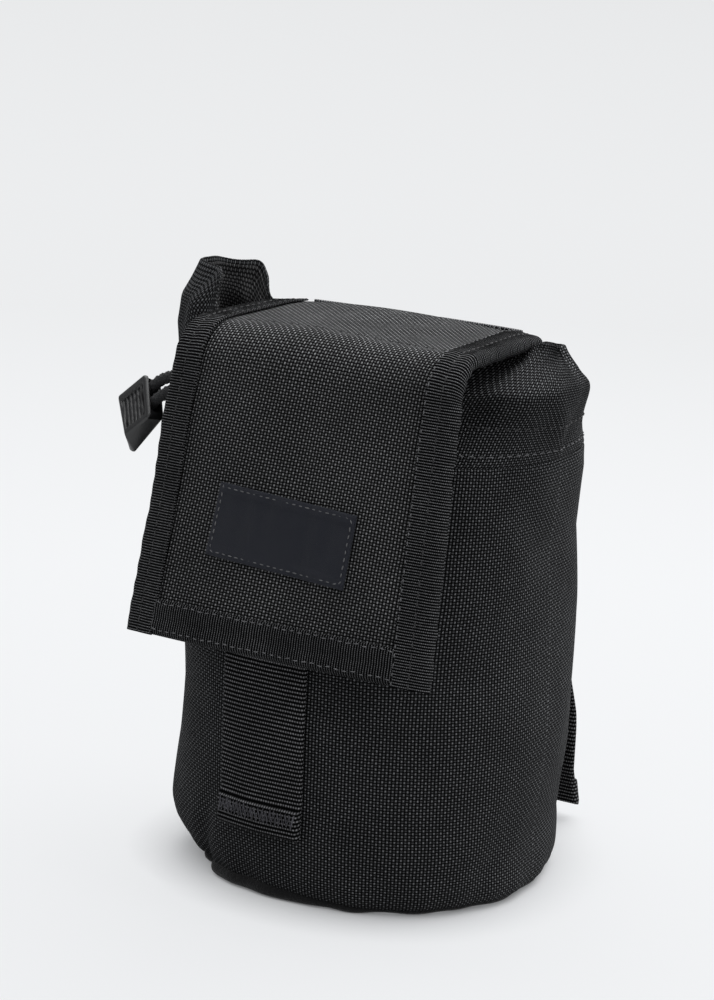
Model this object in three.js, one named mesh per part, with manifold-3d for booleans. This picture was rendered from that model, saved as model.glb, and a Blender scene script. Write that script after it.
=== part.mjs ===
// A roll-up belt pouch for a lens or a bottle, in woven nylon, standing closed on its base.
// Millimetres, +Z up, front towards -Y. The origin is the centre of the base's underside.
// A soft bag narrows to an open, flattened mouth whose corners stand up as two ears. A drawcord runs in
// the mouth's hem and comes out through a spring cord lock to a moulded pull tab. A bound flap is hinged
// at the back of the mouth and folds down over the front, onto a touch fastener. Two webbing straps run
// down the back, under two webbing rows, and close with snaps.
import * as THREE from 'three';
import { mergeVertices } from 'three/addons/utils/BufferGeometryUtils.js';
import Module from 'manifold-3d';

const wasm = await Module();
wasm.setup();

// Clearance between sewn layers and between touching pieces
const gap = 0.3;

// The bag: widths to the left and right of its middle, and depths in front of and behind it, at the
// foot, the belly, the seam and the rim
const footHalfWidth = 43.5;
const footDepth = 39.5;
const footRise = 24;
const bellyHalfWidth = 51.8;
const bellyDepth = 48.4;
const shoulderHeight = 72;
const seamHeight = 118;
const seamLeft = 54;
const seamRight = 50.5;
const seamFront = 37;
const seamBack = 38;
const rimHeight = 143;
const rimLeft = 61.5;
const rimRight = 51;
const rimFront = 24;
const rimBack = 12.5;
const rightBulge = 4;
const frontRoundness = 2.4;
const backRoundness = 2.6;
const wall = 1.2;
const collarWall = 1.2;
const earLiftLeft = 13;
const earLiftRight = 4;
const earFrom = 43;
const earLength = 11;
const earBulge = 10;

// The base panel and the bound seam inside the bag
const baseThickness = 1.6;
const seamBindingHeight = 7;
const seamBindingThickness = 1.8;

// The hem and its drawcord
const facingWall = 0.8;
const hemDepth = 16;
const cordDiameter = 2.8;
const cordExit = -12;
const cordBelowRim = 8.5;
const cordPlay = 0.8;
const exitPlay = 3;
const facingTop = 0.98;
const facingTaper = 7;

// The flap
const flapHalfWidth = 44.3;
const flapTopHalfWidth = 40;
const flapThickness = 1.6;
const flapBehindRim = 3.5;
const flapBend = 11;
const flapFrontLength = 69.6;
const flapCurl = 4.5;
const bindingWidth = 9.5;
const bindingThickness = 0.7;

// The label on the flap
const labelWidth = 40;
const labelHeight = 19;
const labelThickness = 0.7;
const labelCentreX = -2.5;
const labelAboveHem = 22.8;

// The touch fastener
const fastenerThickness = 1.4;
const fastenerWidth = 40;
const fastenerHeight = 26;
const fastenerTop = 108;

// Webbing: the front strap, and the back straps with their rows
const webbingWidth = 25.4;
const webbingThickness = 1.6;
const frontStrapX = -5.4;
const frontStrapBottom = 19;
const frontStrapTop = 80;
const hemFold = 9;
const backStrapX = 19.05;
const backStrapTop = 146.5;
const backStrapEnd = 4;
const tailFlare = 0.32;
const lowRowHeight = 66;
const rowSpacing = 38;
const rowHalfLength = 37;
const rowTack = 4.5;

// Snap fasteners
const snapHeight = 24;
const snapCapRadius = 7.2;
const snapCapHeight = 2;
const snapPostRadius = 1.8;
const snapSocketRadius = 5.4;
const snapStudRadius = 5.2;
const snapStudThickness = 0.8;
const snapNippleRadius = 2.6;
const snapBackRadius = 5;
const snapStandOff = 4.9;
const snapSocketDepth = 1.3;

// The cord lock
const lockWidth = 12;
const lockDepth = 7.6;
const lockWall = 1;
const lockX = -25;
const lockTilt = 0.34;
const lockStandOff = 1;
const lockPlay = 1;
const buttonRim = 0.9;
const buttonTravel = 2.5;
const springWire = 0.5;
const springTurns = 4;

// The pull tab
const tabLength = 10;
const tabWidth = 12.4;
const tabFarWidth = 11;
const tabThickness = 7;
const tabRibs = 5;
const tabPinRadius = 0.8;
const tabPinSetIn = 1;
const tabSwing = 20;
const tabCorner = 1.6;
const tabFrame = 1.2;
const tabCheek = 1.5;
const tabRecess = 0.5;

// The drawcord's turns in the hem, in degrees, and its stretches outside it, in its own diameters
const joinAngle = 0.6;
const leavesHem = 225;
const entersHem = 285;

// How finely round shapes are divided
const aroundCount = 56;

const fabric = new THREE.MeshStandardMaterial({ color: 0x1d1e20, roughness: 0.85, metalness: 0 });
const tape = new THREE.MeshStandardMaterial({ color: 0x161718, roughness: 0.7, metalness: 0 });
const webbing = new THREE.MeshStandardMaterial({ color: 0x141516, roughness: 0.75, metalness: 0 });
const lining = new THREE.MeshStandardMaterial({ color: 0x232427, roughness: 0.9, metalness: 0 });
const moulded = new THREE.MeshStandardMaterial({ color: 0x1a1b1d, roughness: 0.35, metalness: 0 });
const cordage = new THREE.MeshStandardMaterial({ color: 0x121314, roughness: 0.8, metalness: 0 });
const snapMetal = new THREE.MeshStandardMaterial({ color: 0x202124, roughness: 0.35, metalness: 0.8 });
const steel = new THREE.MeshStandardMaterial({ color: 0x9a9c9f, roughness: 0.3, metalness: 1 });

const pouch = new THREE.Group();

const mix = (a, b, t) => a + (b - a) * t;
const ease = (t) => t * t * (3 - 2 * t);
const clamp01 = (t) => Math.min(1, Math.max(0, t));
const steps = (from, to, count) => Array.from({ length: count + 1 }, (_, i) => mix(from, to, i / count));

function addPiece(name, geometry, material, parent = pouch) {
  const mesh = new THREE.Mesh(geometry, material);
  mesh.name = name;
  parent.add(mesh);
  return mesh;
}

// A closed body from its corner points and triangles, turned so that its faces point out
function closedBody(points, triangles) {
  let volume = 0;
  for (const [a, b, c] of triangles) {
    volume += points[a].dot(new THREE.Vector3().crossVectors(points[b], points[c]));
  }
  const index = volume > 0 ? triangles.flat() : triangles.map(([a, b, c]) => [a, c, b]).flat();
  const geometry = new THREE.BufferGeometry().setFromPoints(points);
  geometry.setIndex(index);
  geometry.computeVertexNormals();
  return geometry;
}

// A sheet with thickness: place(u, v, side) gives a point of its inner (0) or outer (1) face
function sheetSolid(us, vs, place, round = false) {
  const points = [0, 1].flatMap((side) => us.flatMap((u) => vs.map((v) => place(u, v, side))));
  const at = (side, i, j) => (side * us.length + (i % us.length)) * vs.length + j;
  const triangles = [];
  const quad = (a, b, c, d) => triangles.push([a, b, c], [a, c, d]);
  const spans = round ? us.length : us.length - 1;
  for (let i = 0; i < spans; i++) {
    for (let j = 0; j + 1 < vs.length; j++) {
      quad(at(1, i, j), at(1, i + 1, j), at(1, i + 1, j + 1), at(1, i, j + 1));
      quad(at(0, i, j), at(0, i, j + 1), at(0, i + 1, j + 1), at(0, i + 1, j));
    }
    const last = vs.length - 1;
    quad(at(1, i, 0), at(0, i, 0), at(0, i + 1, 0), at(1, i + 1, 0));
    quad(at(1, i, last), at(1, i + 1, last), at(0, i + 1, last), at(0, i, last));
  }
  if (!round) {
    const end = us.length - 1;
    for (let j = 0; j + 1 < vs.length; j++) {
      quad(at(1, 0, j), at(1, 0, j + 1), at(0, 0, j + 1), at(0, 0, j));
      quad(at(1, end, j), at(0, end, j), at(0, end, j + 1), at(1, end, j + 1));
    }
  }
  return closedBody(points, triangles);
}

// A closed section carried along stations: place(x, n, station) gives a point
function carriedSection(outline, stations, place) {
  const flat = outline.map(([x, n]) => new THREE.Vector2(x, n));
  const section = THREE.ShapeUtils.isClockWise(flat) ? [...outline].reverse() : outline;
  const points = stations.flatMap((station) => section.map(([x, n]) => place(x, n, station)));
  const count = section.length;
  const triangles = [];
  for (let k = 0; k + 1 < stations.length; k++) {
    for (let i = 0; i < count; i++) {
      const a = k * count + i;
      const b = k * count + ((i + 1) % count);
      triangles.push([a, b, b + count], [a, b + count, a + count]);
    }
  }
  const caps = THREE.ShapeUtils.triangulateShape(section.map(([x, n]) => new THREE.Vector2(x, n)), []);
  const far = (stations.length - 1) * count;
  for (const [a, b, c] of caps) triangles.push([a, c, b], [far + a, far + b, far + c]);
  return closedBody(points, triangles);
}

function toSolid(geometry) {
  const bare = geometry.index ? geometry.toNonIndexed() : geometry.clone();
  bare.deleteAttribute('normal');
  bare.deleteAttribute('uv');
  const merged = mergeVertices(bare, 1e-4);
  return new wasm.Manifold(new wasm.Mesh({
    numProp: 3,
    vertProperties: merged.attributes.position.array,
    triVerts: new Uint32Array(merged.index.array),
  }));
}

function toGeometry(solid) {
  const { vertProperties, triVerts } = solid.getMesh();
  const geometry = new THREE.BufferGeometry();
  geometry.setAttribute('position', new THREE.BufferAttribute(new Float32Array(vertProperties), 3));
  geometry.setIndex(new THREE.BufferAttribute(new Uint32Array(triVerts), 1));
  geometry.computeVertexNormals();
  return geometry;
}

const boxAt = (sx, sy, sz, x, y, z) => new THREE.BoxGeometry(sx, sy, sz).translate(x, y, z);

// A round bar along Y between two values of y
function barAlongY(radius, from, to, x, z, sides = 20) {
  const bar = new THREE.CylinderGeometry(radius, radius, to - from, sides);
  return bar.translate(x, (from + to) / 2, z);
}

// Rows of the bag's surface, straight between one row and the next
const bagRows = [0, 1.5, 4, 8, 14, footRise, 45, shoulderHeight, 84, 95, 106, seamHeight].map((z) => {
  const foot = z < footRise ? Math.sqrt(1 - (1 - z / footRise) ** 2) : 1;
  const up = clamp01((z - shoulderHeight) / (seamHeight - shoulderHeight));
  const width = mix(footHalfWidth, bellyHalfWidth, foot);
  const depth = mix(footDepth, bellyDepth, foot);
  return {
    z,
    left: mix(width, seamLeft, ease(up)),
    right: mix(width, seamRight, ease(up)),
    front: mix(depth, seamFront, up),
    back: mix(depth, seamBack, up),
  };
});
for (const up of [0.1, 0.22, 0.36, 0.52, 0.68, 0.84, 1]) {
  bagRows.push({
    z: mix(seamHeight, rimHeight, up),
    left: mix(seamLeft, rimLeft, up),
    right: mix(seamRight, rimRight, up) + rightBulge * Math.sin(Math.PI * up ** 1.5),
    front: mix(seamFront, rimFront, up ** 0.6),
    back: mix(seamBack, rimBack, up),
  });
}

function bagSize(z, key) {
  const above = Math.max(1, bagRows.findIndex((row) => row.z >= z - 1e-9));
  const [low, high] = z > rimHeight ? bagRows.slice(-2) : [bagRows[above - 1], bagRows[above]];
  return mix(low[key], high[key], clamp01((z - low.z) / (high.z - low.z)));
}

// How far into an ear a point at x is, from 0 to 1
const earShare = (x) => ease(clamp01((Math.abs(x) - earFrom) / earLength));

// A point of the bag's surface at an angle about Z, moved out by offset. The left ear swells backwards.
function bagPoint(angle, z, offset) {
  const c = Math.cos(angle);
  const s = Math.sin(angle);
  const power = 2 / (s < 0 ? frontRoundness : backRoundness);
  const x = (bagSize(z, c < 0 ? 'left' : 'right') + offset) * Math.sign(c) * Math.abs(c) ** power;
  let y = (bagSize(z, s < 0 ? 'front' : 'back') + offset) * Math.sign(s) * Math.abs(s) ** power;
  const up = clamp01((z - seamHeight) / (rimHeight - seamHeight));
  if (c < 0 && s > 0) y += earBulge * up * earShare(x) * s ** 0.7;
  return new THREE.Vector3(x, y, z);
}

// How far the surface stands in front of (or behind) the bag's middle at x and z
function standOut(x, z, key, offset = 0) {
  const roundness = key === 'front' ? frontRoundness : backRoundness;
  const share = Math.abs(x) / (bagSize(z, x < 0 ? 'left' : 'right') + offset);
  return (bagSize(z, key) + offset) * (1 - share ** roundness) ** (1 / roundness);
}

// Heights for a sheet that lies on the bag, with every row of the bag between its ends
function heightsOnBag(...own) {
  const low = Math.min(...own);
  const high = Math.max(...own);
  const rows = bagRows.map((row) => row.z).filter((z) => z > low && z < high);
  const sorted = [...own, ...rows].sort((a, b) => a - b);
  return sorted.filter((z, i) => own.includes(z) || own.every((o) => Math.abs(z - o) > 0.2));
}
const onFront = (x, z, n) => new THREE.Vector3(x, -standOut(x, z, 'front') - n, z);
const onBack = (x, z, n) => new THREE.Vector3(x, standOut(x, z, 'back') + n, z);

const angles = Array.from({ length: aroundCount }, (_, i) => (i / aroundCount) * 2 * Math.PI);

// Bag tube, with the four holes that the snap posts pass through
const tubeHeights = bagRows.map((row) => row.z).filter((z) => z <= seamHeight);
const tubeWall = sheetSolid(angles, tubeHeights, (u, z, side) => bagPoint(u, z, side ? 0 : -wall), true);
let tubeSolid = toSolid(tubeWall);
for (const side of [-1, 1]) {
  const hole = barAlongY(snapPostRadius + gap, footDepth / 2, 2 * bellyDepth, side * backStrapX, snapHeight);
  tubeSolid = tubeSolid.subtract(toSolid(hole));
}
addPiece('bag_tube', toGeometry(tubeSolid), fabric);

// Base panel: a flat plate inside the foot of the tube
function baseOutline(inset) {
  return angles.map((u) => {
    const p = bagPoint(u, 0, -inset);
    return new THREE.Vector2(p.x, p.y);
  });
}
const basePlate = new THREE.ExtrudeGeometry(new THREE.Shape(baseOutline(wall + gap)), {
  depth: baseThickness,
  bevelEnabled: false,
});
addPiece('base_panel', basePlate, fabric);

// Binding that covers the raw edge of the base seam, standing inside the foot
const seamBindingFoot = baseThickness + gap;
const seamBinding = sheetSolid(
  angles,
  [seamBindingFoot, seamBindingFoot + seamBindingHeight],
  (u, z, side) => bagPoint(u, z, -wall - gap - (side ? 0 : seamBindingThickness)),
  true,
);
addPiece('base_seam_binding', seamBinding, tape);

// Collar: from the seam up to a rim whose ends rise into two ears, the left one higher
const earRise = (x) => earShare(x) * (x < 0 ? earLiftLeft : earLiftRight);
const collarFoot = seamHeight + gap;
function collarPoint(angle, share, offset) {
  const p = bagPoint(angle, mix(collarFoot, rimHeight, share), offset);
  p.z += earRise(p.x) * share ** 3;
  return p;
}
const collarRise = rimHeight - collarFoot;
const collarShares = [0, ...bagRows.map((row) => (row.z - collarFoot) / collarRise).filter((t) => t > 0)];
const collarWallSolid = sheetSolid(
  angles,
  collarShares,
  (u, share, side) => collarPoint(u, share, side ? 0 : -collarWall),
  true,
);
const cordHeight = rimHeight - cordBelowRim;
const exitWidth = cordDiameter + exitPlay;
const exitHeight = 2 * cordDiameter + exitPlay - 1;
const exitReach = 2 * rimFront;
const exitSlot = boxAt(exitWidth, exitReach, exitHeight, cordExit, -0.75 * exitReach, cordHeight);
addPiece('collar', toGeometry(toSolid(collarWallSolid).subtract(toSolid(exitSlot))), fabric);

// Facing: the inner layer of the hem, which makes the drawcord's tunnel
const tunnel = cordDiameter + 2 * cordPlay;
const facingOffset = -collarWall - tunnel;
const facingFoot = (collarRise - hemDepth) / collarRise;
const facingShares = steps(facingFoot, facingTop, 6);
function facingIn(share) {
  const t = (share - facingFoot) / (facingTop - facingFoot);
  return mix(-collarWall - gap, facingOffset, clamp01(facingTaper * Math.min(t, 1 - t)));
}
const facing = sheetSolid(
  angles,
  facingShares,
  (u, share, side) => collarPoint(u, share, facingIn(share) - (side ? 0 : facingWall)),
  true,
);
addPiece('hem_facing', facing, lining);

// The cord lock lies flat against the collar, tilted with it, with its slots at the drawcord's height.
// In its own frame the cords pass along X, the spring is below them and the button leaves upwards.
const cordStep = (cordDiameter + gap) / 2;
const slotHeight = 2 * (cordStep + cordDiameter / 2 + gap);
const slotDepth = cordDiameter + 2 * gap;
const springSolid = springWire * (springTurns + 1);
const lockTop = slotHeight / 2 + buttonRim;
const cavityFoot = -slotHeight / 2 - buttonRim - buttonTravel - springSolid;
const lockFoot = cavityFoot - lockWall;
const lockSeat = Math.max(...steps(lockFoot, lockTop, 12).map((h) => {
  const onCollar = standOut(lockX, cordHeight + h * Math.cos(lockTilt), 'front');
  return onCollar + h * Math.sin(lockTilt);
}));
const lockOut = lockSeat + (lockDepth / 2 + lockStandOff) / Math.cos(lockTilt);
const lockAt = new THREE.Vector3(lockX, -lockOut, cordHeight);

// The flap's path from its back edge over the mouth and down the front, as y, z and the outward normal.
// Its front is parallel to the bag's shoulder, and clears the strap, the touch fastener and the cord lock.
const topZ = rimHeight + 2 * gap + bindingThickness;
const flapRearY = rimBack - flapBehindRim;
const lean = Math.atan2(bellyDepth - seamFront, seamHeight - shoulderHeight);
const strapClear = (webbingThickness + 2 * fastenerThickness + 3 * gap) / Math.cos(lean);
const lockCorner = new THREE.Vector3(lockX - lockWidth / 2, -lockDepth / 2, lockFoot)
  .applyAxisAngle(new THREE.Vector3(1, 0, 0), -lockTilt);
const lockCornerOut = lockOut - lockCorner.y;
const lockCornerRise = cordHeight + lockCorner.z - seamHeight;
const curlAtLock = flapCurl * ((Math.abs(lockX) + lockWidth / 2) / flapHalfWidth) ** 3;
const lockClear = lockCornerOut + lockCornerRise * Math.tan(lean) - seamFront + curlAtLock + lockPlay;
const cornerY = (topZ - seamHeight) * Math.tan(lean) - seamFront - Math.max(strapClear, lockClear);
const turn = Math.PI / 2 - lean;
const tangent = flapBend * Math.tan(turn / 2);
const topLength = flapRearY - (cornerY + tangent);
const bendLength = flapBend * turn;
const foldAt = topLength + bendLength;
const flapEnd = foldAt + flapFrontLength;

function flapPath(s) {
  if (s < topLength) return { y: flapRearY - s, z: topZ, ny: 0, nz: 1 };
  const angle = Math.min((s - topLength) / flapBend, turn);
  const down = Math.max(0, s - foldAt);
  const centreY = flapRearY - topLength;
  return {
    y: centreY - flapBend * Math.sin(angle) - down * Math.cos(angle),
    z: topZ - flapBend * (1 - Math.cos(angle)) - down * Math.sin(angle),
    ny: -Math.sin(angle),
    nz: Math.cos(angle),
  };
}

// A point of the flap: x across at the widest, n out from its underside, s along from its back edge.
// The side edges of the front part curl back towards the bag.
function flapPoint(x, n, s) {
  const p = flapPath(s);
  const curl = flapCurl * clamp01((s - topLength) / bendLength) * Math.abs(x / flapHalfWidth) ** 3;
  const halfWidth = mix(flapTopHalfWidth, flapHalfWidth, clamp01((s - topLength) / flapFrontLength));
  return new THREE.Vector3(x * (halfWidth / flapHalfWidth), p.y + p.ny * (n - curl), p.z + p.nz * (n - curl));
}

const flapTop = new THREE.Group();
const flapFront = new THREE.Group();
pouch.add(flapTop, flapFront);
const topStations = [...steps(gap / 2, topLength, 2), ...steps(topLength, foldAt - gap / 2, 6).slice(1)];
const flapParts = [
  { name: 'flap_top', group: flapTop, stations: topStations },
  { name: 'flap_front', group: flapFront, stations: steps(foldAt + gap / 2, flapEnd, 4) },
];
const panelEdge = flapHalfWidth - bindingThickness - gap;
const bindingTop = flapThickness + gap + bindingThickness;
for (const { name, group, stations } of flapParts) {
  const panelStations = [...stations];
  if (group === flapFront) panelStations[panelStations.length - 1] = flapEnd - bindingThickness - gap;
  const panelAcross = steps(-panelEdge, panelEdge, 8);
  const panel = sheetSolid(panelAcross, panelStations, (x, s, side) => flapPoint(x, side * flapThickness, s));
  addPiece(`${name}_panel`, panel, fabric, group);
  for (const [word, side] of [['left', -1], ['right', 1]]) {
    const section = [
      [side * (flapHalfWidth - bindingWidth), bindingTop],
      [side * flapHalfWidth, bindingTop],
      [side * flapHalfWidth, -gap - bindingThickness],
      [side * (flapHalfWidth - bindingWidth), -gap - bindingThickness],
      [side * (flapHalfWidth - bindingWidth), -gap],
      [side * (flapHalfWidth - bindingThickness), -gap],
      [side * (flapHalfWidth - bindingThickness), flapThickness + gap],
      [side * (flapHalfWidth - bindingWidth), flapThickness + gap],
    ];
    addPiece(`${name}_binding_${word}`, carriedSection(section, stations, flapPoint), tape, group);
  }
}

// The hem binding wraps the flap's lower edge between the side bindings
const hemSection = [
  [flapEnd - bindingWidth, bindingTop],
  [flapEnd, bindingTop],
  [flapEnd, -gap - bindingThickness],
  [flapEnd - bindingWidth, -gap - bindingThickness],
  [flapEnd - bindingWidth, -gap],
  [flapEnd - bindingThickness, -gap],
  [flapEnd - bindingThickness, flapThickness + gap],
  [flapEnd - bindingWidth, flapThickness + gap],
];
const hemEdge = flapHalfWidth - bindingWidth - gap;
const hemBinding = carriedSection(hemSection, steps(-hemEdge, hemEdge, 6), (s, n, x) => flapPoint(x, n, s));
addPiece('flap_front_binding_hem', hemBinding, tape, flapFront);

// A flat patch on the flap, between two lengths along it
const flapPatch = (width, centreX, [from, to], [low, high]) => sheetSolid(
  steps(centreX - width / 2, centreX + width / 2, 4),
  steps(from, to, 2),
  (x, s, side) => flapPoint(x, side ? high : low, s),
);
const labelLow = flapEnd - labelAboveHem;
const labelFace = flapThickness + gap;
const labelSpan = [labelLow - labelHeight, labelLow];
const label = flapPatch(labelWidth, labelCentreX, labelSpan, [labelFace, labelFace + labelThickness]);
addPiece('label', label, tape, flapFront);

// Touch fastener: the loop patch on the bag and the hook patch under the flap, face to face
const loopPatch = sheetSolid(
  steps(-fastenerWidth / 2, fastenerWidth / 2, 6),
  heightsOnBag(fastenerTop - fastenerHeight, fastenerTop),
  (x, z, side) => onFront(x, z, gap + side * fastenerThickness),
);
addPiece('loop_patch', loopPatch, lining);
const hookFrom = foldAt + (flapPath(foldAt).z - fastenerTop) / Math.cos(lean);
const hookTo = hookFrom + fastenerHeight / Math.cos(lean);
const hookPatch = flapPatch(fastenerWidth, 0, [hookFrom, hookTo], [-gap - fastenerThickness, -gap]);
addPiece('hook_patch', hookPatch, lining, flapFront);

// Front strap: webbing with a folded, bar-tacked lower end
const strapAcross = steps(-webbingWidth / 2, webbingWidth / 2, 4);
const frontFoldTop = frontStrapBottom + hemFold;
const foldStep = gap + 0.2;
const frontFold = [frontStrapBottom, frontFoldTop, frontFoldTop + foldStep];
const frontStrapHeights = heightsOnBag(...frontFold, frontStrapTop);
const frontStrap = sheetSolid(strapAcross, frontStrapHeights, (x, z, side) => {
  const folded = z <= frontFoldTop ? 2 * webbingThickness : webbingThickness;
  return onFront(x + frontStrapX, z, gap + side * folded);
});
addPiece('front_strap', frontStrap, webbing);

// Back straps, from behind the flap's back edge down to the lowest row, and their free ends below it
const splitBelowRow = 1;
const strapSplit = lowRowHeight - webbingWidth / 2 - splitBelowRow;
const strapHeights = heightsOnBag(strapSplit + gap / 2, backStrapTop);
const strapOut = (x, z, n) => onBack(x, Math.min(z, rimHeight), n);
const snapFlat = snapCapRadius + 1;
function hang(z) {
  const out = clamp01((strapSplit - z) / (strapSplit - snapHeight - snapFlat));
  return snapStandOff * out + Math.max(0, snapHeight - snapFlat - z) * tailFlare;
}
for (const [word, side] of [['left', -1], ['right', 1]]) {
  const centre = side * backStrapX;
  const strap = sheetSolid(strapAcross, strapHeights, (x, z, face) => {
    const p = strapOut(x + centre, z, gap + face * webbingThickness);
    return new THREE.Vector3(p.x, p.y, z);
  });
  addPiece(`back_strap_${word}`, strap, webbing);

  const foldTop = backStrapEnd + hemFold;
  const snapEnds = [snapHeight - snapFlat, snapHeight + snapFlat];
  const endHeights = [backStrapEnd, foldTop, foldTop + foldStep, ...snapEnds, strapSplit - gap / 2];
  const strapEnd = sheetSolid(strapAcross, endHeights, (x, z, face) => {
    const thickness = face * webbingThickness + (face && z <= foldTop ? webbingThickness : 0);
    const p = onBack(x + centre, strapSplit, gap + hang(z) + thickness);
    return new THREE.Vector3(p.x, p.y, z);
  });
  const end = new THREE.Group();
  pouch.add(end);
  const rivetHole = barAlongY(snapPostRadius + gap, bellyDepth / 2, 2 * bellyDepth, centre, snapHeight);
  const pierced = toGeometry(toSolid(strapEnd).subtract(toSolid(rivetHole)));
  addPiece(`back_strap_end_${word}`, pierced, webbing, end);

  // Snap: a domed cap and its post through the strap, a socket under it, and a stud with its back post
  const strapFace = (n) => onBack(centre - side * snapCapRadius, strapSplit, gap + hang(snapHeight) + n).y;
  const innerFace = onBack(centre + side * snapSocketRadius, strapSplit, gap + hang(snapHeight)).y;
  const capSeat = strapFace(webbingThickness) + gap;
  const postReach = capSeat - (innerFace - gap - snapSocketDepth);
  const cap = new THREE.LatheGeometry([
    new THREE.Vector2(0, -postReach),
    new THREE.Vector2(snapPostRadius, -postReach),
    new THREE.Vector2(snapPostRadius, 0),
    new THREE.Vector2(snapCapRadius, 0),
    new THREE.Vector2(snapCapRadius * 0.96, snapCapHeight * 0.45),
    new THREE.Vector2(snapCapRadius * 0.7, snapCapHeight * 0.85),
    new THREE.Vector2(0, snapCapHeight),
  ], 24).translate(centre, capSeat, snapHeight);
  addPiece(`snap_cap_${word}`, cap, snapMetal, end);

  const socketBack = innerFace - gap;
  const socketFront = socketBack - snapSocketDepth;
  const socketRing = toSolid(barAlongY(snapSocketRadius, socketFront, socketBack, centre, snapHeight, 24))
    .subtract(toSolid(barAlongY(snapPostRadius + gap, 0, 2 * bellyDepth, centre, snapHeight)));
  addPiece(`snap_socket_${word}`, toGeometry(socketRing), snapMetal, end);

  const bagFace = onBack(centre - side * snapStudRadius, snapHeight, 0).y + gap;
  const studTop = Math.max(socketFront - gap, bagFace + snapStudThickness);
  const studFace = bagFace + snapStudThickness;
  const stud = toSolid(barAlongY(snapStudRadius, bagFace, studFace, centre, snapHeight, 24))
    .add(toSolid(barAlongY(snapNippleRadius, bagFace, studTop, centre, snapHeight)));
  addPiece(`snap_stud_${word}`, toGeometry(stud), snapMetal);

  const bagInside = onBack(centre + side * snapBackRadius, snapHeight, -wall).y - gap;
  const backFace = bagInside - snapStudThickness;
  const backPost = toSolid(barAlongY(snapBackRadius, backFace, bagInside, centre, snapHeight, 24))
    .add(toSolid(barAlongY(snapPostRadius, backFace, bagFace - gap, centre, snapHeight)));
  addPiece(`snap_post_${word}`, toGeometry(backPost), snapMetal);
}

// Webbing rows across the back: tacked down beside the straps, and bridging over them
const strapInner = backStrapX - webbingWidth / 2;
const bridge = webbingThickness + 2 * gap;
const overStrap = (side) => strapAcross.map((x) => [side * backStrapX + x, bridge]);
const rowStops = [
  [-rowHalfLength, gap],
  [-rowHalfLength + rowTack, gap],
  ...overStrap(-1),
  [-strapInner / 2, gap],
  [strapInner / 2, gap],
  ...overStrap(1),
  [rowHalfLength - rowTack, gap],
  [rowHalfLength, gap],
];
[lowRowHeight, lowRowHeight + rowSpacing].forEach((height, i) => {
  const heights = heightsOnBag(height - webbingWidth / 2, height + webbingWidth / 2);
  const row = sheetSolid(rowStops, heights, ([x, n], z, side) => onBack(x, z, n + side * webbingThickness));
  addPiece(`webbing_row_${i + 1}`, row, webbing);
});

// Cord lock: a flat spring lock between the collar and the flap
const lock = new THREE.Group();
lock.position.copy(lockAt);
lock.rotation.x = -lockTilt;
const button = new THREE.Group();
button.position.copy(lockAt);
button.rotation.x = -lockTilt;
pouch.add(lock, button);

function roundedBlock(width, depth, from, to, radius) {
  const shape = new THREE.Shape();
  const w = width / 2 - radius;
  const d = depth / 2 - radius;
  shape.absarc(w, d, radius, 0, Math.PI / 2);
  shape.absarc(-w, d, radius, Math.PI / 2, Math.PI);
  shape.absarc(-w, -d, radius, Math.PI, 1.5 * Math.PI);
  shape.absarc(w, -d, radius, 1.5 * Math.PI, 2 * Math.PI);
  const block = new THREE.ExtrudeGeometry(shape, { depth: to - from, bevelEnabled: false, curveSegments: 4 });
  return block.translate(0, 0, from);
}

const cavityWidth = lockWidth - 2 * lockWall;
const cavityDepth = lockDepth - 2 * lockWall;
const cavityHeight = lockTop + lockWall - cavityFoot;
const lockShell = toSolid(roundedBlock(lockWidth, lockDepth, lockFoot, lockTop, 1.6))
  .subtract(toSolid(boxAt(cavityWidth, cavityDepth, cavityHeight, 0, 0, cavityFoot + cavityHeight / 2)))
  .subtract(toSolid(boxAt(2 * lockWidth, slotDepth, slotHeight, 0, 0, 0)));
addPiece('cord_lock_body', toGeometry(lockShell), moulded, lock);

const buttonWidth = cavityWidth - 2 * gap;
const buttonDepth = cavityDepth - 2 * gap;
const buttonFoot = -slotHeight / 2 - buttonRim;
const buttonTop = lockTop + buttonTravel + gap;
const windowHeight = slotHeight + buttonTravel;
const buttonBlock = toSolid(roundedBlock(buttonWidth, buttonDepth, buttonFoot, buttonTop, 0.8))
  .subtract(toSolid(boxAt(2 * lockWidth, slotDepth, windowHeight, 0, 0, (windowHeight - slotHeight) / 2)));
addPiece('cord_lock_button', toGeometry(buttonBlock), moulded, button);

// A round bar carried along a curve
function barAlong(curve, radius, count, sides) {
  const shape = new THREE.Shape().absarc(0, 0, radius, 0, 2 * Math.PI);
  return new THREE.ExtrudeGeometry(shape, {
    steps: count,
    curveSegments: sides,
    bevelEnabled: false,
    extrudePath: curve,
  });
}

const springFoot = cavityFoot + gap / 2 + springWire / 2;
const springHead = buttonFoot - gap / 2 - springWire / 2;
const springRadius = buttonDepth / 2 - springWire / 2;
const springPoints = steps(0, 1, springTurns * 12).map((t) => {
  const angle = t * springTurns * 2 * Math.PI;
  const z = mix(springFoot, springHead, t);
  return new THREE.Vector3(springRadius * Math.cos(angle), springRadius * Math.sin(angle), z);
});
const springCurve = new THREE.CatmullRomCurve3(springPoints);
addPiece('cord_lock_spring', barAlong(springCurve, springWire / 2, springTurns * 14, 3), steel, lock);

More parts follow.
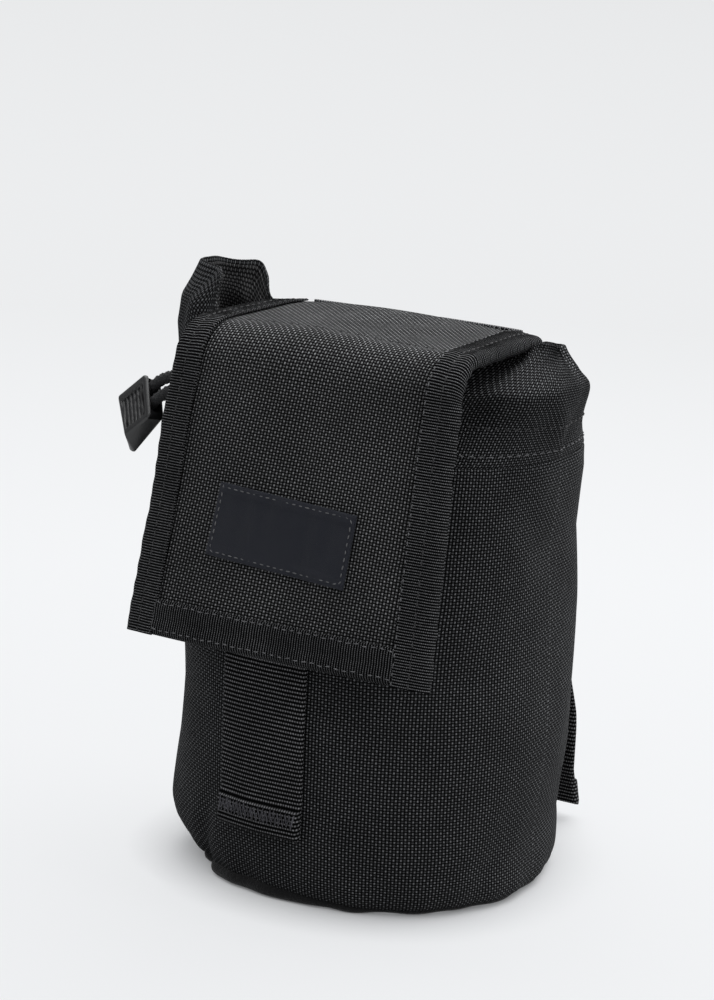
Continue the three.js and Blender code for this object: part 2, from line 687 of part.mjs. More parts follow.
// Pull tab: its own frame has X from the mouth to the far end, Y down along the mouth and Z through
// its thickness, and its origin in the middle of the mouth
const tabX = new THREE.Vector3(-0.767, 0.074, -0.637).normalize();
const tabY = new THREE.Vector3(0.492, -0.573, -0.656);
tabY.addScaledVector(tabX, -tabY.dot(tabX)).normalize();
const tabZ = new THREE.Vector3().crossVectors(tabX, tabY);
const tabMouth = lockAt.clone().add(new THREE.Vector3(-28.7, -0.8, -10.2));
const tab = new THREE.Group();
tab.quaternion.setFromRotationMatrix(new THREE.Matrix4().makeBasis(tabX, tabY, tabZ));
tab.position.copy(tabMouth);
pouch.add(tab);
const loopRadius = tabPinRadius + gap + cordDiameter / 2;
const pinAt = loopRadius + tabPinSetIn;
const mouthWidth = 2 * (loopRadius + cordDiameter / 2 + gap);

const tabOutline = new THREE.Shape();
tabOutline.moveTo(0, -tabWidth / 2);
tabOutline.lineTo(0, tabWidth / 2);
tabOutline.lineTo(tabLength - tabCorner, tabFarWidth / 2);
tabOutline.quadraticCurveTo(tabLength, tabFarWidth / 2, tabLength, tabFarWidth / 2 - tabCorner);
tabOutline.lineTo(tabLength, -tabFarWidth / 2 + tabCorner);
tabOutline.quadraticCurveTo(tabLength, -tabFarWidth / 2, tabLength - tabCorner, -tabFarWidth / 2);
const tabBlock = new THREE.ExtrudeGeometry(tabOutline, {
  depth: tabThickness,
  bevelEnabled: false,
  curveSegments: 4,
});
let tabSolid = toSolid(tabBlock.translate(0, 0, -tabThickness / 2));

// The cord's slot is round behind the pin, and its mouth flares so that the tab can swing on the cord
const slotEnd = new THREE.CylinderGeometry(mouthWidth / 2, mouthWidth / 2, slotDepth, 32).rotateX(Math.PI / 2);
tabSolid = tabSolid.subtract(toSolid(slotEnd.translate(pinAt, 0, 0)));
for (const degrees of [-tabSwing, 0, tabSwing]) {
  const arm = boxAt(tabLength, mouthWidth, slotDepth, -tabLength / 2, 0, 0);
  arm.rotateZ(degrees * (Math.PI / 180)).translate(pinAt, 0, 0);
  tabSolid = tabSolid.subtract(toSolid(arm));
}
const grooveWidth = (tabLength - 2 * tabFrame) / (2 * tabRibs);
const grooveLength = tabFarWidth - 2 * tabCheek;
for (const face of [-1, 1]) {
  for (let i = 0; i < tabRibs; i++) {
    const grooveX = tabFrame + (2 * i + 1) * grooveWidth;
    const groove = boxAt(grooveWidth, grooveLength, 2 * tabRecess, grooveX, 0, (face * tabThickness) / 2);
    tabSolid = tabSolid.subtract(toSolid(groove));
  }
}
const pinLength = slotDepth + 2 * tabPinRadius;
const pin = new THREE.CylinderGeometry(tabPinRadius, tabPinRadius, pinLength, 12).rotateX(Math.PI / 2);
tabSolid = tabSolid.add(toSolid(pin.translate(pinAt, 0, 0)));
addPiece('pull_tab', toGeometry(tabSolid), moulded, tab);

// Drawcord: round inside the hem, out of the slot, through the lock, round the tab's pin and back again
const inTab = (x, y) => tabMouth.clone().addScaledVector(tabX, x).addScaledVector(tabY, y);
const inLock = (x, z) => {
  const turned = new THREE.Vector3(x, 0, z).applyEuler(lock.rotation);
  return turned.add(lockAt);
};
const inHem = (degrees) => bagPoint(degrees * (Math.PI / 180), cordHeight, -collarWall - tunnel / 2);
const inHemAt = (x, rise) => new THREE.Vector3(
  x,
  -standOut(x, cordHeight, 'front', -collarWall - tunnel / 2),
  cordHeight + rise,
);
const nearExit = (diameters) => cordExit + diameters * cordDiameter;
const outY = lockAt.y;
const throughY = (inHemAt(cordExit, 0).y + outY) / 2;
const halfLock = lockWidth / 2 + lockPlay;
const tabLead = -1.4 * cordDiameter;
const cordPoints = [
  ...steps(90 + joinAngle, leavesHem, 14).map((degrees) => inHem(degrees)),
  inHemAt(nearExit(-2.86), cordStep * 0.6),
  inHemAt(nearExit(-0.71), cordStep),
  new THREE.Vector3(nearExit(0.32), throughY, cordHeight + cordStep),
  new THREE.Vector3(nearExit(-0.79), outY, cordHeight + cordStep),
  inLock(halfLock, cordStep),
  inLock(0, cordStep),
  inLock(-halfLock, cordStep),
  inTab(tabLead, -loopRadius),
  inTab(0, -loopRadius),
  ...steps(-90, 90, 6).map((degrees) => {
    const a = (degrees * Math.PI) / 180;
    return inTab(pinAt + loopRadius * Math.cos(a), loopRadius * Math.sin(a));
  }),
  inTab(0, loopRadius),
  inTab(tabLead, loopRadius),
  inLock(-halfLock, -cordStep),
  inLock(0, -cordStep),
  inLock(halfLock, -cordStep),
  new THREE.Vector3(nearExit(-0.93), outY, cordHeight - cordStep),
  new THREE.Vector3(cordExit, throughY, cordHeight - cordStep),
  inHemAt(nearExit(1.36), -cordStep),
  inHemAt(nearExit(2.5), -cordStep),
  inHemAt(nearExit(4.64), -cordStep * 0.5),
  ...steps(entersHem, 450 - joinAngle, 18).map((degrees) => inHem(degrees)),
];
const cordCurve = new THREE.CatmullRomCurve3(cordPoints);
addPiece('drawcord', barAlong(cordCurve, cordDiameter / 2, 150, 4), cordage);

export default pouch;
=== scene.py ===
import math

import bmesh
import bpy
import numpy as np
from mathutils import Matrix, Vector


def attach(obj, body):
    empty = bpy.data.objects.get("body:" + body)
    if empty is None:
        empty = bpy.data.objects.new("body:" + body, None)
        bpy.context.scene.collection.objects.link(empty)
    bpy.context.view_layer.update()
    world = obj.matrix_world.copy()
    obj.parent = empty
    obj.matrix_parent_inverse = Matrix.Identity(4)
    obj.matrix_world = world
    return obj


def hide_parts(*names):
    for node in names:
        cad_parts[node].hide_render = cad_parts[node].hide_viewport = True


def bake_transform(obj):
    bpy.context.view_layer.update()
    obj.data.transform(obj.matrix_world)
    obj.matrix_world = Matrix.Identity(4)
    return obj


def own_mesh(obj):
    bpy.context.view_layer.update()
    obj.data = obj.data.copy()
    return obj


# A roll-up belt pouch in coarse black nylon, standing closed on a pale table. Metres, front towards -Y.
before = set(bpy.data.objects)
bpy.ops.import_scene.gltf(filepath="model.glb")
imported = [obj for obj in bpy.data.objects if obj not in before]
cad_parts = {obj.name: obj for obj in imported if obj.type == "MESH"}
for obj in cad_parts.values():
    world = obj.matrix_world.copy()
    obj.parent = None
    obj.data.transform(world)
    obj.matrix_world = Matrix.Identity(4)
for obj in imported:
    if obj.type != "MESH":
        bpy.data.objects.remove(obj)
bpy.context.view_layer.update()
mm = 0.001


# Node trees

class Wire:  # one socket, so that shader maths can be written as sums
    def __init__(self, maker, socket):
        self.maker, self.socket = maker, socket

    def __rsub__(self, other):
        return self.maker.maths("SUBTRACT", other, self)

    def arch(self):  # up and down again over each whole step
        return ((self - self.floor()) * math.pi).sine()

    def held(self):  # kept between 0 and 1
        return self.maker.node("ShaderNodeClamp", {}, {0: self})


def operator(kind):
    return lambda *parts: parts[0].maker.maths(kind, *parts)


operators = {
    "__add__": "ADD", "__radd__": "ADD", "__sub__": "SUBTRACT", "__mul__": "MULTIPLY", "__rmul__": "MULTIPLY",
    "__truediv__": "DIVIDE", "__pow__": "POWER", "__mod__": "FLOORED_MODULO", "floor": "FLOOR", "sine": "SINE",
    "size": "ABSOLUTE",
}
for name, kind in operators.items():
    setattr(Wire, name, operator(kind))


class Maker:  # adds nodes to one tree
    def __init__(self, tree):
        self.tree = tree

    def node(self, kind, settings, inputs, output=0):
        made = self.tree.nodes.new(kind)
        for name, value in settings.items():
            setattr(made, name, value)
        for name, value in inputs.items():
            if isinstance(value, Wire):
                self.tree.links.new(value.socket, made.inputs[name])
            else:
                made.inputs[name].default_value = value
        return Wire(self, made.outputs[output])

    def maths(self, operation, *values):
        return self.node("ShaderNodeMath", {"operation": operation}, dict(enumerate(values)))

    def joined(self, *parts):
        return self.node("ShaderNodeCombineXYZ", {}, dict(enumerate(parts)))

    def mixed(self, low, high, share):
        settings = {"data_type": "RGBA", "blend_type": "MIX"}
        return self.node("ShaderNodeMix", settings, {0: share, 6: low, 7: high}, output=2)

    def cloth(self):  # the cloth's own millimetres, across and along
        place = self.node("ShaderNodeUVMap", {"uv_map": "cloth"}, {})
        return [self.node("ShaderNodeSeparateXYZ", {}, {0: place}, axis) for axis in (0, 1)]

    def here(self):
        return self.node("ShaderNodeTexCoord", {}, {}, output="Object")

    def noise(self, scale, detail=2, roughness=0.5):
        inputs = {"Vector": self.here(), "Scale": scale, "Detail": detail, "Roughness": roughness}
        return self.node("ShaderNodeTexNoise", {}, inputs)

    def chance(self, *cell):  # one random number for each thread
        return self.node("ShaderNodeTexWhiteNoise", {"noise_dimensions": "3D"}, {"Vector": self.joined(*cell)})

    def seen(self):  # 1 for the rays that show a surface, and 1 for those of them that come off a shine
        names = ("Is Camera Ray", "Is Glossy Ray", "Is Transmission Ray")
        camera, glossy, through = (self.node("ShaderNodeLightPath", {}, {}, output=name) for name in names)
        return (camera + glossy + through).held(), glossy

    def finish(self, shades, roughness, height, relief):
        bump = self.node("ShaderNodeBump", {}, {"Strength": 1, "Distance": relief, "Height": height})
        for name, wire in (("Base Color", self.mixed(*shades)), ("Roughness", roughness), ("Normal", bump)):
            self.tree.links.new(wire.socket, self.shader.inputs[name])
        return self.material


def newMaterial(name, **fixed):
    material = bpy.data.materials.new(name)
    material.use_nodes = True
    make = Maker(material.node_tree)
    make.material, make.shader = material, material.node_tree.nodes["Principled BSDF"]
    for socket, value in fixed.items():
        make.shader.inputs[socket.replace("_", " ")].default_value = value
    return make


# Finishes

weave = {"warpPitch": 0.93, "weftPitch": 0.8, "roughness": 0.6, "threadSpread": 0.28, "relief": 0.0004}


def wovenNylon(name, light, dark=(0.0015, 0.0015, 0.0017, 1), relief=weave["relief"]):
    make = newMaterial(name, Specular_IOR_Level=0.03)
    u, v = make.cloth()
    wander = make.noise(90, 1) * 0.5
    across, along = u / weave["warpPitch"] + wander, v / weave["weftPitch"] + wander
    ridgeU, ridgeV = across.arch(), along.arch()
    over = (across.floor() + along.floor()) % 2
    warp, weft = over * ridgeU * ridgeV ** 0.4, (1 - over) * ridgeV * ridgeU ** 0.4
    thread = make.chance(across.floor(), along.floor(), over)
    patches = make.noise(55, 3)
    # painted highlight and shade: each thread's crest is painted light and the gaps between threads near black, so
    # each thread looks lit on top; thread and patches add random tone
    bright = (warp ** 3 + weft ** 3 * 0.36) * (0.68 + thread * weave["threadSpread"]) * (patches * 0.8 + 0.6)
    return make.finish((dark, light, bright.held()), weave["roughness"] + thread * 0.2, warp + weft * 0.8, relief)


def ribbedTape(name, pitch, light, relief, ripple=0.3, beads=0.2, power=8):  # ribs lie across the tape
    make = newMaterial(name, Specular_IOR_Level=0.03)
    u, v = make.cloth()
    rib = v / pitch + make.noise(140, 1) * ripple
    grain = u / (pitch * 0.67) + rib.floor() * 0.5
    thread = make.chance(grain.floor(), rib.floor(), 0)
    height = rib.arch() * (grain.arch() * beads + (1 - beads))
    # painted highlight on each rib's crest, and painted shade near black between ribs; thread and the noise add random
    # tone
    bright = height ** power * (0.65 + thread * 0.4) * (make.noise(60) * 0.8 + 0.5)
    return make.finish(((0.0012, 0.0012, 0.0014, 1), light, bright.held()), 0.55 + thread * 0.25, height, relief)


def labelCloth():  # a fine satin field, left bare
    make = newMaterial("labelCloth", Specular_IOR_Level=0.35, Sheen_Weight=0.15)
    u, v = make.cloth()
    height = (v / 0.28 + (u / 0.34).floor() * 0.4).arch()
    patches = make.noise(130, 3)
    # painted highlight along the satin's ribs, darker between them; patches add random tone
    shades = (0.009, 0.011, 0.019, 1), (0.028, 0.032, 0.047, 1), (height * 0.6 * (patches + 0.4)).held()
    return make.finish(shades, 0.6 + patches * 0.25, height, 0.00008)


def thread(name, dark, light):
    make = newMaterial(name, Specular_IOR_Level=0.4, Sheen_Weight=0.2)
    strands, worn = make.noise(2600), make.noise(160)
    bright = (strands * 0.7 + worn * 0.5).held()
    return make.finish((dark, light, bright), 0.55 + strands * 0.25, strands, 0.00006)


def braidedCord():
    make = newMaterial("braidedCord", Specular_IOR_Level=0.4, Sheen_Weight=0.15)
    u, v = make.cloth()
    lay, counter = u / 0.5 + v / 0.62, u / 0.5 - v / 0.62
    height = ((lay * math.pi).sine() * (counter * math.pi).sine()).size()
    patches = make.noise(300)
    # painted highlight on the braid's crests, near black between strands; patches add random tone
    shades = (0.006, 0.006, 0.007, 1), (0.13, 0.132, 0.138, 1), (height ** 1.6 * (patches + 0.4)).held()
    return make.finish(shades, 0.55 + patches * 0.2, height, 0.0001)


def mouldedPlastic():
    make = newMaterial("mouldedPlastic", Specular_IOR_Level=0.62)
    worn = make.noise(120, 3)
    shades = (0.007, 0.0073, 0.008, 1), (0.02, 0.0205, 0.022, 1), worn
    return make.finish(shades, 0.27 + worn * 0.2, make.noise(2200, 3), 0.00003)


def grained(name, dark, light, noise, rough, relief, **fixed):  # rough: its least, and how far it goes up
    make = newMaterial(name, **fixed)
    grain = make.noise(*noise)
    return make.finish((dark, light, grain), rough[0] + grain * rough[1], grain, relief)


def felt(name, dark, light, scale):
    return grained(name, dark, light, (scale, 4, 0.7), (0.8, 0.15), 0.0004, Specular_IOR_Level=0.2, Sheen_Weight=0.35)


finishes = {
    "nylon": wovenNylon("wovenNylon", (0.48, 0.492, 0.51, 1)),
    # the flap's cloth is the bag's own nylon, its crests painted lighter as painted light for the light that falls on
    # the flap's top
    "flapNylonPaintedLighter": wovenNylon("flapNylonPaintedLighter", (0.7, 0.71, 0.722, 1)),
    "lining": wovenNylon("coatedBack", (0.4, 0.4, 0.405, 1), (0.008, 0.008, 0.0085, 1), 0.0002),
    "binding": ribbedTape("bindingTape", 0.72, (0.44, 0.448, 0.462, 1), 0.00024),
    "webbing": ribbedTape("ribbedWebbing", 1.1, (0.66, 0.663, 0.685, 1), 0.0003, 0.2, 0.45, 5),
    "label": labelCloth(),
    "darkThread": thread("darkThread", (0.01, 0.01, 0.011, 1), (0.06, 0.06, 0.063, 1)),
    "greyThread": thread("greyThread", (0.08, 0.081, 0.085, 1), (0.3, 0.303, 0.314, 1)),
    "tackThread": thread("tackThread", (0.012, 0.012, 0.014, 1), (0.34, 0.336, 0.38, 1)),
    "cord": braidedCord(),
    "moulded": mouldedPlastic(),
    # near black: the piping's own dark tape, and painted shadow where it stands in at the front left foot
    "footTapeAndShadow": felt("footTapeAndShadow", (0.003, 0.003, 0.0033, 1), (0.014, 0.014, 0.015, 1), 1200),
    "hooks": felt("hookFace", (0.01, 0.01, 0.011, 1), (0.045, 0.045, 0.048, 1), 900),
    "loops": felt("loopFace", (0.012, 0.012, 0.013, 1), (0.06, 0.06, 0.063, 1), 700),
    "oxide": grained("blackOxide", (0.028, 0.028, 0.03, 1), (0.05, 0.0495, 0.049, 1), (400, 4, 0.6), (0.3, 0.2),
                     0.00002, Metallic=0.7),
    "steel": grained("springSteel", (0.4, 0.4, 0.41, 1), (0.6, 0.61, 0.62, 1), (900, 3), (0.25, 0.15), 0.00001,
                     Metallic=1),
}
print("finishes made:", len(finishes))


# Mesh helpers

def smooth(t):
    t = np.clip(t, 0, 1)
    return t * t * (3 - 2 * t)


def mix(a, b, t):
    return a + (b - a) * t


def bell(*parts):
    return np.exp(-sum(part ** 2 for part in parts))


def together(*parts):
    return np.stack(np.broadcast_arrays(*parts), -1)


def closed(points):
    return np.concatenate([points, points[:1]])


def runAlong(points):  # the distance along a path, from its start
    return np.append(0, np.cumsum(np.linalg.norm(np.diff(points, axis=0), axis=1)))


def circle(count):
    return np.arange(count) / count * 2 * math.pi


def unit(vectors):
    return vectors / np.linalg.norm(vectors, axis=-1, keepdims=True)


def newMesh(name, points, faces, edges=()):
    mesh = bpy.data.meshes.new(name)
    mesh.from_pydata((np.reshape(points, (-1, 3)) * mm).tolist(), edges, faces)
    return mesh


def addObject(name, data):
    added = bpy.data.objects.new(name, data)
    bpy.context.scene.collection.objects.link(added)
    return added


def finishPiece(name, mesh, finish):
    mesh.name = name
    mesh.materials.clear()
    mesh.materials.append(finishes[finish])
    mesh.shade_smooth()
    return addObject(name, mesh)


def facesOut(mesh):
    work = bmesh.new()
    work.from_mesh(mesh)
    if work.calc_volume(signed=True) < 0:
        bmesh.ops.reverse_faces(work, faces=work.faces)
    work.to_mesh(mesh)
    work.free()


def clothMesh(name, points, faces, uvs, finish):
    mesh = newMesh(name, points, faces)
    mesh.uv_layers.new(name="cloth").data.foreach_set("uv", uvs.astype(np.float32).ravel())
    facesOut(mesh)
    return finishPiece(name, mesh, finish)


def loopMesh(name, loops, clothUv, finish, closedAlong=False):
    # loops: stations x points x 3, each loop closed. clothUv: the same with one more point, in millimetres.
    stations, around, _ = loops.shape
    i, j = np.meshgrid(np.arange(stations - (not closedAlong)), np.arange(around), indexing="ij")
    nextI, nextJ = (i + 1) % stations * around, (j + 1) % around
    quads = np.stack([i * around + j, nextI + j, nextI + nextJ, i * around + nextJ], -1).reshape(-1, 4)
    uvs = np.stack([clothUv[i, j], clothUv[i + 1, j], clothUv[i + 1, j + 1], clothUv[i, j + 1]], -2).reshape(-1, 4, 2)
    if not closedAlong:  # each end is closed by a strip across the loop
        k = np.arange(around // 2 - 1)
        strip = np.stack([k, k + 1, around - 2 - k, around - 1 - k], -1)
        for station, ends in ((0, strip), (stations - 1, strip[:, ::-1])):
            quads = np.concatenate([quads, ends + station * around])
            uvs = np.concatenate([uvs, clothUv[station][ends]])
    return clothMesh(name, loops, quads.tolist(), uvs, finish)


def settle(piece, slot, *nodes, bodies=("pouch",), start=None, end=None):
    # one body: the piece rides on it. Two: its placement is baked into its mesh.
    if len(bodies) == 1:
        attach(piece, bodies[0])
    else:
        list(bodies)
        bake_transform(piece)
        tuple(start)
        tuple(end)
    if nodes:
        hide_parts(*nodes)
    return piece


def ripples(around, up, seed, waves=7, low=1, high=5, reach=1.1):
    draw = np.random.default_rng(seed)
    total = 0
    for _ in range(waves):
        count, slope, phase = draw.integers(low, high), draw.uniform(-reach, reach), draw.uniform(0, 2 * math.pi)
        total = total + np.sin(count * around + slope * up + phase)
    return total / math.sqrt(waves)


# The bag's shape, in millimetres as the pouch was measured

bag = {
    "footHalfWidth": 43.5, "footDepth": 39.5, "footRise": 24, "bellyHalfWidth": 51.8, "bellyDepth": 48.4,
    "shoulderHeight": 72, "seamHeight": 118, "seamLeft": 54, "seamRight": 50.5, "seamFront": 37, "seamBack": 38,
    "rimHeight": 143, "rimLeft": 61.5, "rimRight": 51, "rimFront": 24, "rimBack": 12.5, "rightBulge": 4.8,
    "frontRoundness": 2.4, "backRoundness": 2.6, "wall": 1.2, "gap": 0.3,
    "earLiftLeft": 13, "earLiftRight": 2.8, "earFrom": 43, "earLength": 11, "earBulge": 11.5,
    "lipFrom": 36, "lipLength": 6, "slopeFrom": 38, "slopeLength": 17, "ripple": 0.36, "seed": 4,
}
# The mouth: how far each share of the left ear hangs out, and where the right end is drawn shut
mouth = {
    "rises": [0, 0.15, 0.3, 0.5, 0.7, 0.85, 0.95, 1], "hangs": [0, -0.8, -2.5, -4.7, -4.4, -2.2, 1.2, 3],
    "leftTip": 4.6, "leftTipFrom": 0.82, "rightTip": -4.2, "rightTipFrom": 0.72, "shutFrom": 14, "shutLength": 20,
    "shutRise": 0.66, "backReach": 53, "backPower": 2.6, "halfGap": 1.7, "deepest": -2,
    "puckerFrom": 0.35, "puckerLength": 0.5, "pucker": 0.55, "ripple": 0.5, "rippleLength": 0.3,
    "bellyAt": 24, "bellySpread": 34, "bellyTop": 0.6, "bellyLength": 0.5, "belly": 0.9,
}
# Cloth rounds the shoulder off: the heights where that starts and ends, and how far each height is averaged
easing = {"from": 12, "fromLength": 12, "to": 116, "toLength": 8, "reach": 12}
angles = circle(240)
heights = np.arange(0, bag["rimHeight"] + 0.5, 0.5)


def profileTable():
    seam, rim = bag["seamHeight"], bag["rimHeight"]
    foot = np.sqrt(1 - (1 - np.minimum(heights / bag["footRise"], 1)) ** 2)
    up = np.clip((heights - bag["shoulderHeight"]) / (seam - bag["shoulderHeight"]), 0, 1)
    above = np.clip((heights - seam) / (rim - seam), 0, 1)
    width = mix(bag["footHalfWidth"], bag["bellyHalfWidth"], foot)
    depth = mix(bag["footDepth"], bag["bellyDepth"], foot)
    bulge = bag["rightBulge"] * np.sin(math.pi * above ** 2.1)
    plans = {"Left": (width, smooth(up), above, 0), "Right": (width, smooth(up), above, bulge),
             "Front": (depth, up, above ** 0.6, 0), "Back": (depth, up, above, 0)}
    eased = smooth((heights - easing["from"]) / easing["fromLength"])
    eased = eased * smooth((easing["to"] - heights) / easing["toLength"])
    window = 2 * easing["reach"] + 1
    table = {}
    for side, (low, share, highShare, more) in plans.items():
        at = bag[f"seam{side}"]
        sizes = np.where(heights <= seam, mix(low, at, share), mix(at, bag[f"rim{side}"], highShare) + more)
        average = np.convolve(np.pad(sizes, easing["reach"], "edge"), np.ones(window) / window, "valid")
        table[side.lower()] = mix(sizes, average, eased)
    return table


bagSizes = profileTable()
collarFoot = bag["seamHeight"] + bag["gap"]
collarTall = bag["rimHeight"] - collarFoot


def bagSize(z, side):
    return np.interp(z, heights, bagSizes[side])


def bagWidth(x, z):
    return np.where(x < 0, bagSize(z, "left"), bagSize(z, "right"))


def earShare(x):
    return smooth((np.abs(x) - bag["earFrom"]) / bag["earLength"])


def bagPoint(angle, z, offset):
    angle, z, offset = np.broadcast_arrays(np.asarray(angle, float), z, offset)
    c, s = np.cos(angle), np.sin(angle)
    power = 2 / np.where(s < 0, bag["frontRoundness"], bag["backRoundness"])
    x = (bagWidth(c, z) + offset) * np.sign(c) * np.abs(c) ** power
    y = (np.where(s < 0, bagSize(z, "front"), bagSize(z, "back")) + offset) * np.sign(s) * np.abs(s) ** power
    up = np.clip((z - bag["seamHeight"]) / (bag["rimHeight"] - bag["seamHeight"]), 0, 1)
    y = y + np.where((c < 0) & (s > 0), bag["earBulge"] * up * earShare(x) * np.abs(s) ** 0.7, 0)
    return np.stack([x, y, z], -1)


def collarPoint(angle, share, offset):
    angle, share, offset = np.broadcast_arrays(angle, share, offset)
    p = bagPoint(angle, mix(collarFoot, bag["rimHeight"], share), offset)
    x = p[..., 0]
    lip = smooth((np.abs(x) - bag["lipFrom"]) / bag["lipLength"])
    slope = smooth((np.abs(x) - bag["slopeFrom"]) / bag["slopeLength"])
    liftLeft = slope * bag["earLiftLeft"] * (1 - 0.12 * smooth(np.sin(angle) * 3))
    p[..., 2] += np.where(x < 0, liftLeft, lip * bag["earLiftRight"]) * np.maximum(share, 0) ** 3
    rise = np.clip(share, 0, 1)

    def above(low):
        return smooth((rise - low) / (1 - low))
    left = np.interp(rise, mouth["rises"], mouth["hangs"])
    left = left + mouth["leftTip"] * smooth(-np.sin(angle) * 2.4) * above(mouth["leftTipFrom"])
    p[..., 0] += earShare(x) * np.where(x < 0, left, mouth["rightTip"] * above(mouth["rightTipFrom"]))
    shut = smooth((x - mouth["shutFrom"]) / mouth["shutLength"]) * above(mouth["shutRise"])
    back = bag["rimBack"] * np.maximum(0, 1 - (np.abs(x) / mouth["backReach"]) ** mouth["backPower"]) ** 0.4
    apart = np.where(np.sin(angle) < 0, -1, 1) * (mouth["halfGap"] + np.maximum(offset, mouth["deepest"]) * 0.7)
    p[..., 1] = mix(p[..., 1], 0.5 * back + apart, shut)
    return p


def standOut(x, z, side):
    roundness = bag[f"{side}Roundness"]
    share = np.abs(x) / bagWidth(np.asarray(x), z)
    return bagSize(z, side) * (1 - np.minimum(share, 1) ** roundness) ** (1 / roundness)


def turnFrom(angle, degrees):
    return (np.degrees(angle) - degrees + 180) % 360 - 180


# Soft creases of the bag: where they lie (degrees, height), their lean, depth, width and length
creases = [
    (241, 9, 0.4, 1.5, 3.2, 13), (262, 7, -0.2, 0.6, 5, 9), (297, 8, -0.5, 0.7, 5, 10), (338, 12, 0.5, 0.8, 6, 15),
    (318, 60, 1.0, 0.7, 14, 30), (352, 98, -0.8, 0.9, 7, 18), (20, 40, 0.6, 0.8, 10, 28),
    (150, 46, -0.6, 0.9, 10, 26), (196, 30, 0.5, 0.8, 9, 24),
]
# Where the bag stands in or out of its measured round: degrees, spread, heights and offsets
leanings = [
    (207, 26, [0, 5, 11, 15, 22, 34, 50, 70, 100], [-3.8, -1.4, 1.0, 1.4, 0.6, -0.5, -1.2, -0.6, 0]),
    (24, 34, [0, 8, 16, 24, 34, 45, 70, 95, 105, 112], [0.6, -1.4, -3.3, -3.0, -1.5, -0.9, -1.6, -1.6, -0.2, 0.8]),
    (238, 13, [0, 4, 10, 18], [-1.8, -1.4, -0.5, 0]),
    (352, 20, [0, 4, 10, 18], [2.8, 2.3, 0.6, 0]),
    (286, 52, [0, 5, 12, 25], [3.2, 2.4, 0.9, 0]),
]
# The collar's hollows and folds: degrees, drift and its height, width, height, length, and how far they stand out
folds = [
    (309, 0, 0, 11, 0.5, 0.18, -3.4), (344, 0, 0, 7, 0.5, 0.3, -0.8), (327, 14, 0.8, 4, 0.85, 0.2, -1.1),
    (352, -26, 0.35, 6, 0.4, 0.3, 1.5), (205, 0, 0, 13, 0.7, 0.3, -0.8), (334, 0, 0, 20, 0.56, 0.2, 1.2),
]


def bagSag(angle, z):
    rolled = ripples(angle, z / 16, bag["seed"])
    offset = bag["ripple"] * rolled * smooth(z / 20) * smooth((bag["seamHeight"] - z) / 16)
    for at, spread, levels, offsets in leanings:
        offset = offset + bell(turnFrom(angle, at) / spread) * np.interp(z, levels, offsets)
    offset = offset + 0.28 * bell((z - 3.5) / 4.5) * ripples(angle, z / 9, bag["seed"] + 1, 9, 14, 34, 0.6)
    seam = bell((bag["seamHeight"] - z) / 3.2)
    offset = offset + 0.16 * seam * ripples(angle, z / 9, bag["seed"] + 2, 9, 12, 30, 0.4)
    for at, level, lean, depth, width, length in creases:
        across = turnFrom(angle, at) * (math.pi / 180) * 48 - lean * (z - level)
        offset = offset - depth * bell(across / width, (z - level) / length)
    return offset


girth = runAlong(bagPoint(np.append(angles, 0), 60, 0))


def clothShell(name, rows, finish, slot, *nodes, turned=False):
    # rows: the section's points, each all round the bag. The weave runs round the girth and up each section.
    loops = np.stack(rows, 1)
    run = np.linalg.norm(np.diff(np.concatenate([loops, loops[:, :1]], 1), axis=1), axis=-1).mean(0)
    uv = together(girth[:, None], np.append(0, np.cumsum(run))[None, :])
    uv = uv[..., ::-1] if turned else uv
    return settle(loopMesh(name, loops, uv, finish, closedAlong=True), slot, *nodes)


# The foot, whose front left corner stands a little off the table; there the near-black foot piping swells out as
# painted shadow under the raised edge
footing = {
    "corner": 256, "cornerSpread": 27, "cornerUp": 2.4, "cornerShadowOut": 2.8, "cornerShadowThick": 0.8, "pipe": 1.15,
    "pipeIn": 1.7, "pipeUp": 0.24, "panelIn": 2.6, "panelThick": 1.3, "panelAt": 2.0,
    "bindingLow": 2.1, "bindingHigh": 8.9, "bindingThick": 1.8, "bindingGap": 0.5,
}


def standsOff(angle):
    return bell(turnFrom(angle, footing["corner"]) / footing["cornerSpread"])


def makeBag():
    wall, top = bag["wall"], bag["seamHeight"] - 0.8
    outer = list(zip([1.3, 1.5, 1.9, 2.6, 3.5], [-1.6, -0.75, -0.3, -0.08, 0]))
    outer += [(z, 0) for z in np.linspace(4.5, top, 92)] + [(117.8, -0.2), (118, -0.6), (117.8, -1.0)]
    inner = [(z, -wall) for z in np.linspace(top, 2.4, 40)] + [(1.9, -wall - 0.3), (1.4, -wall - 0.8)]
    raised = footing["cornerUp"] * standsOff(angles)
    rows = [bagPoint(angles, z + raised * math.exp(-z / 4), offset + bagSag(angles, z)) for z, offset in outer + inner]
    clothShell("bagCloth", rows, "nylon", "woven_nylon", "bag_tube")


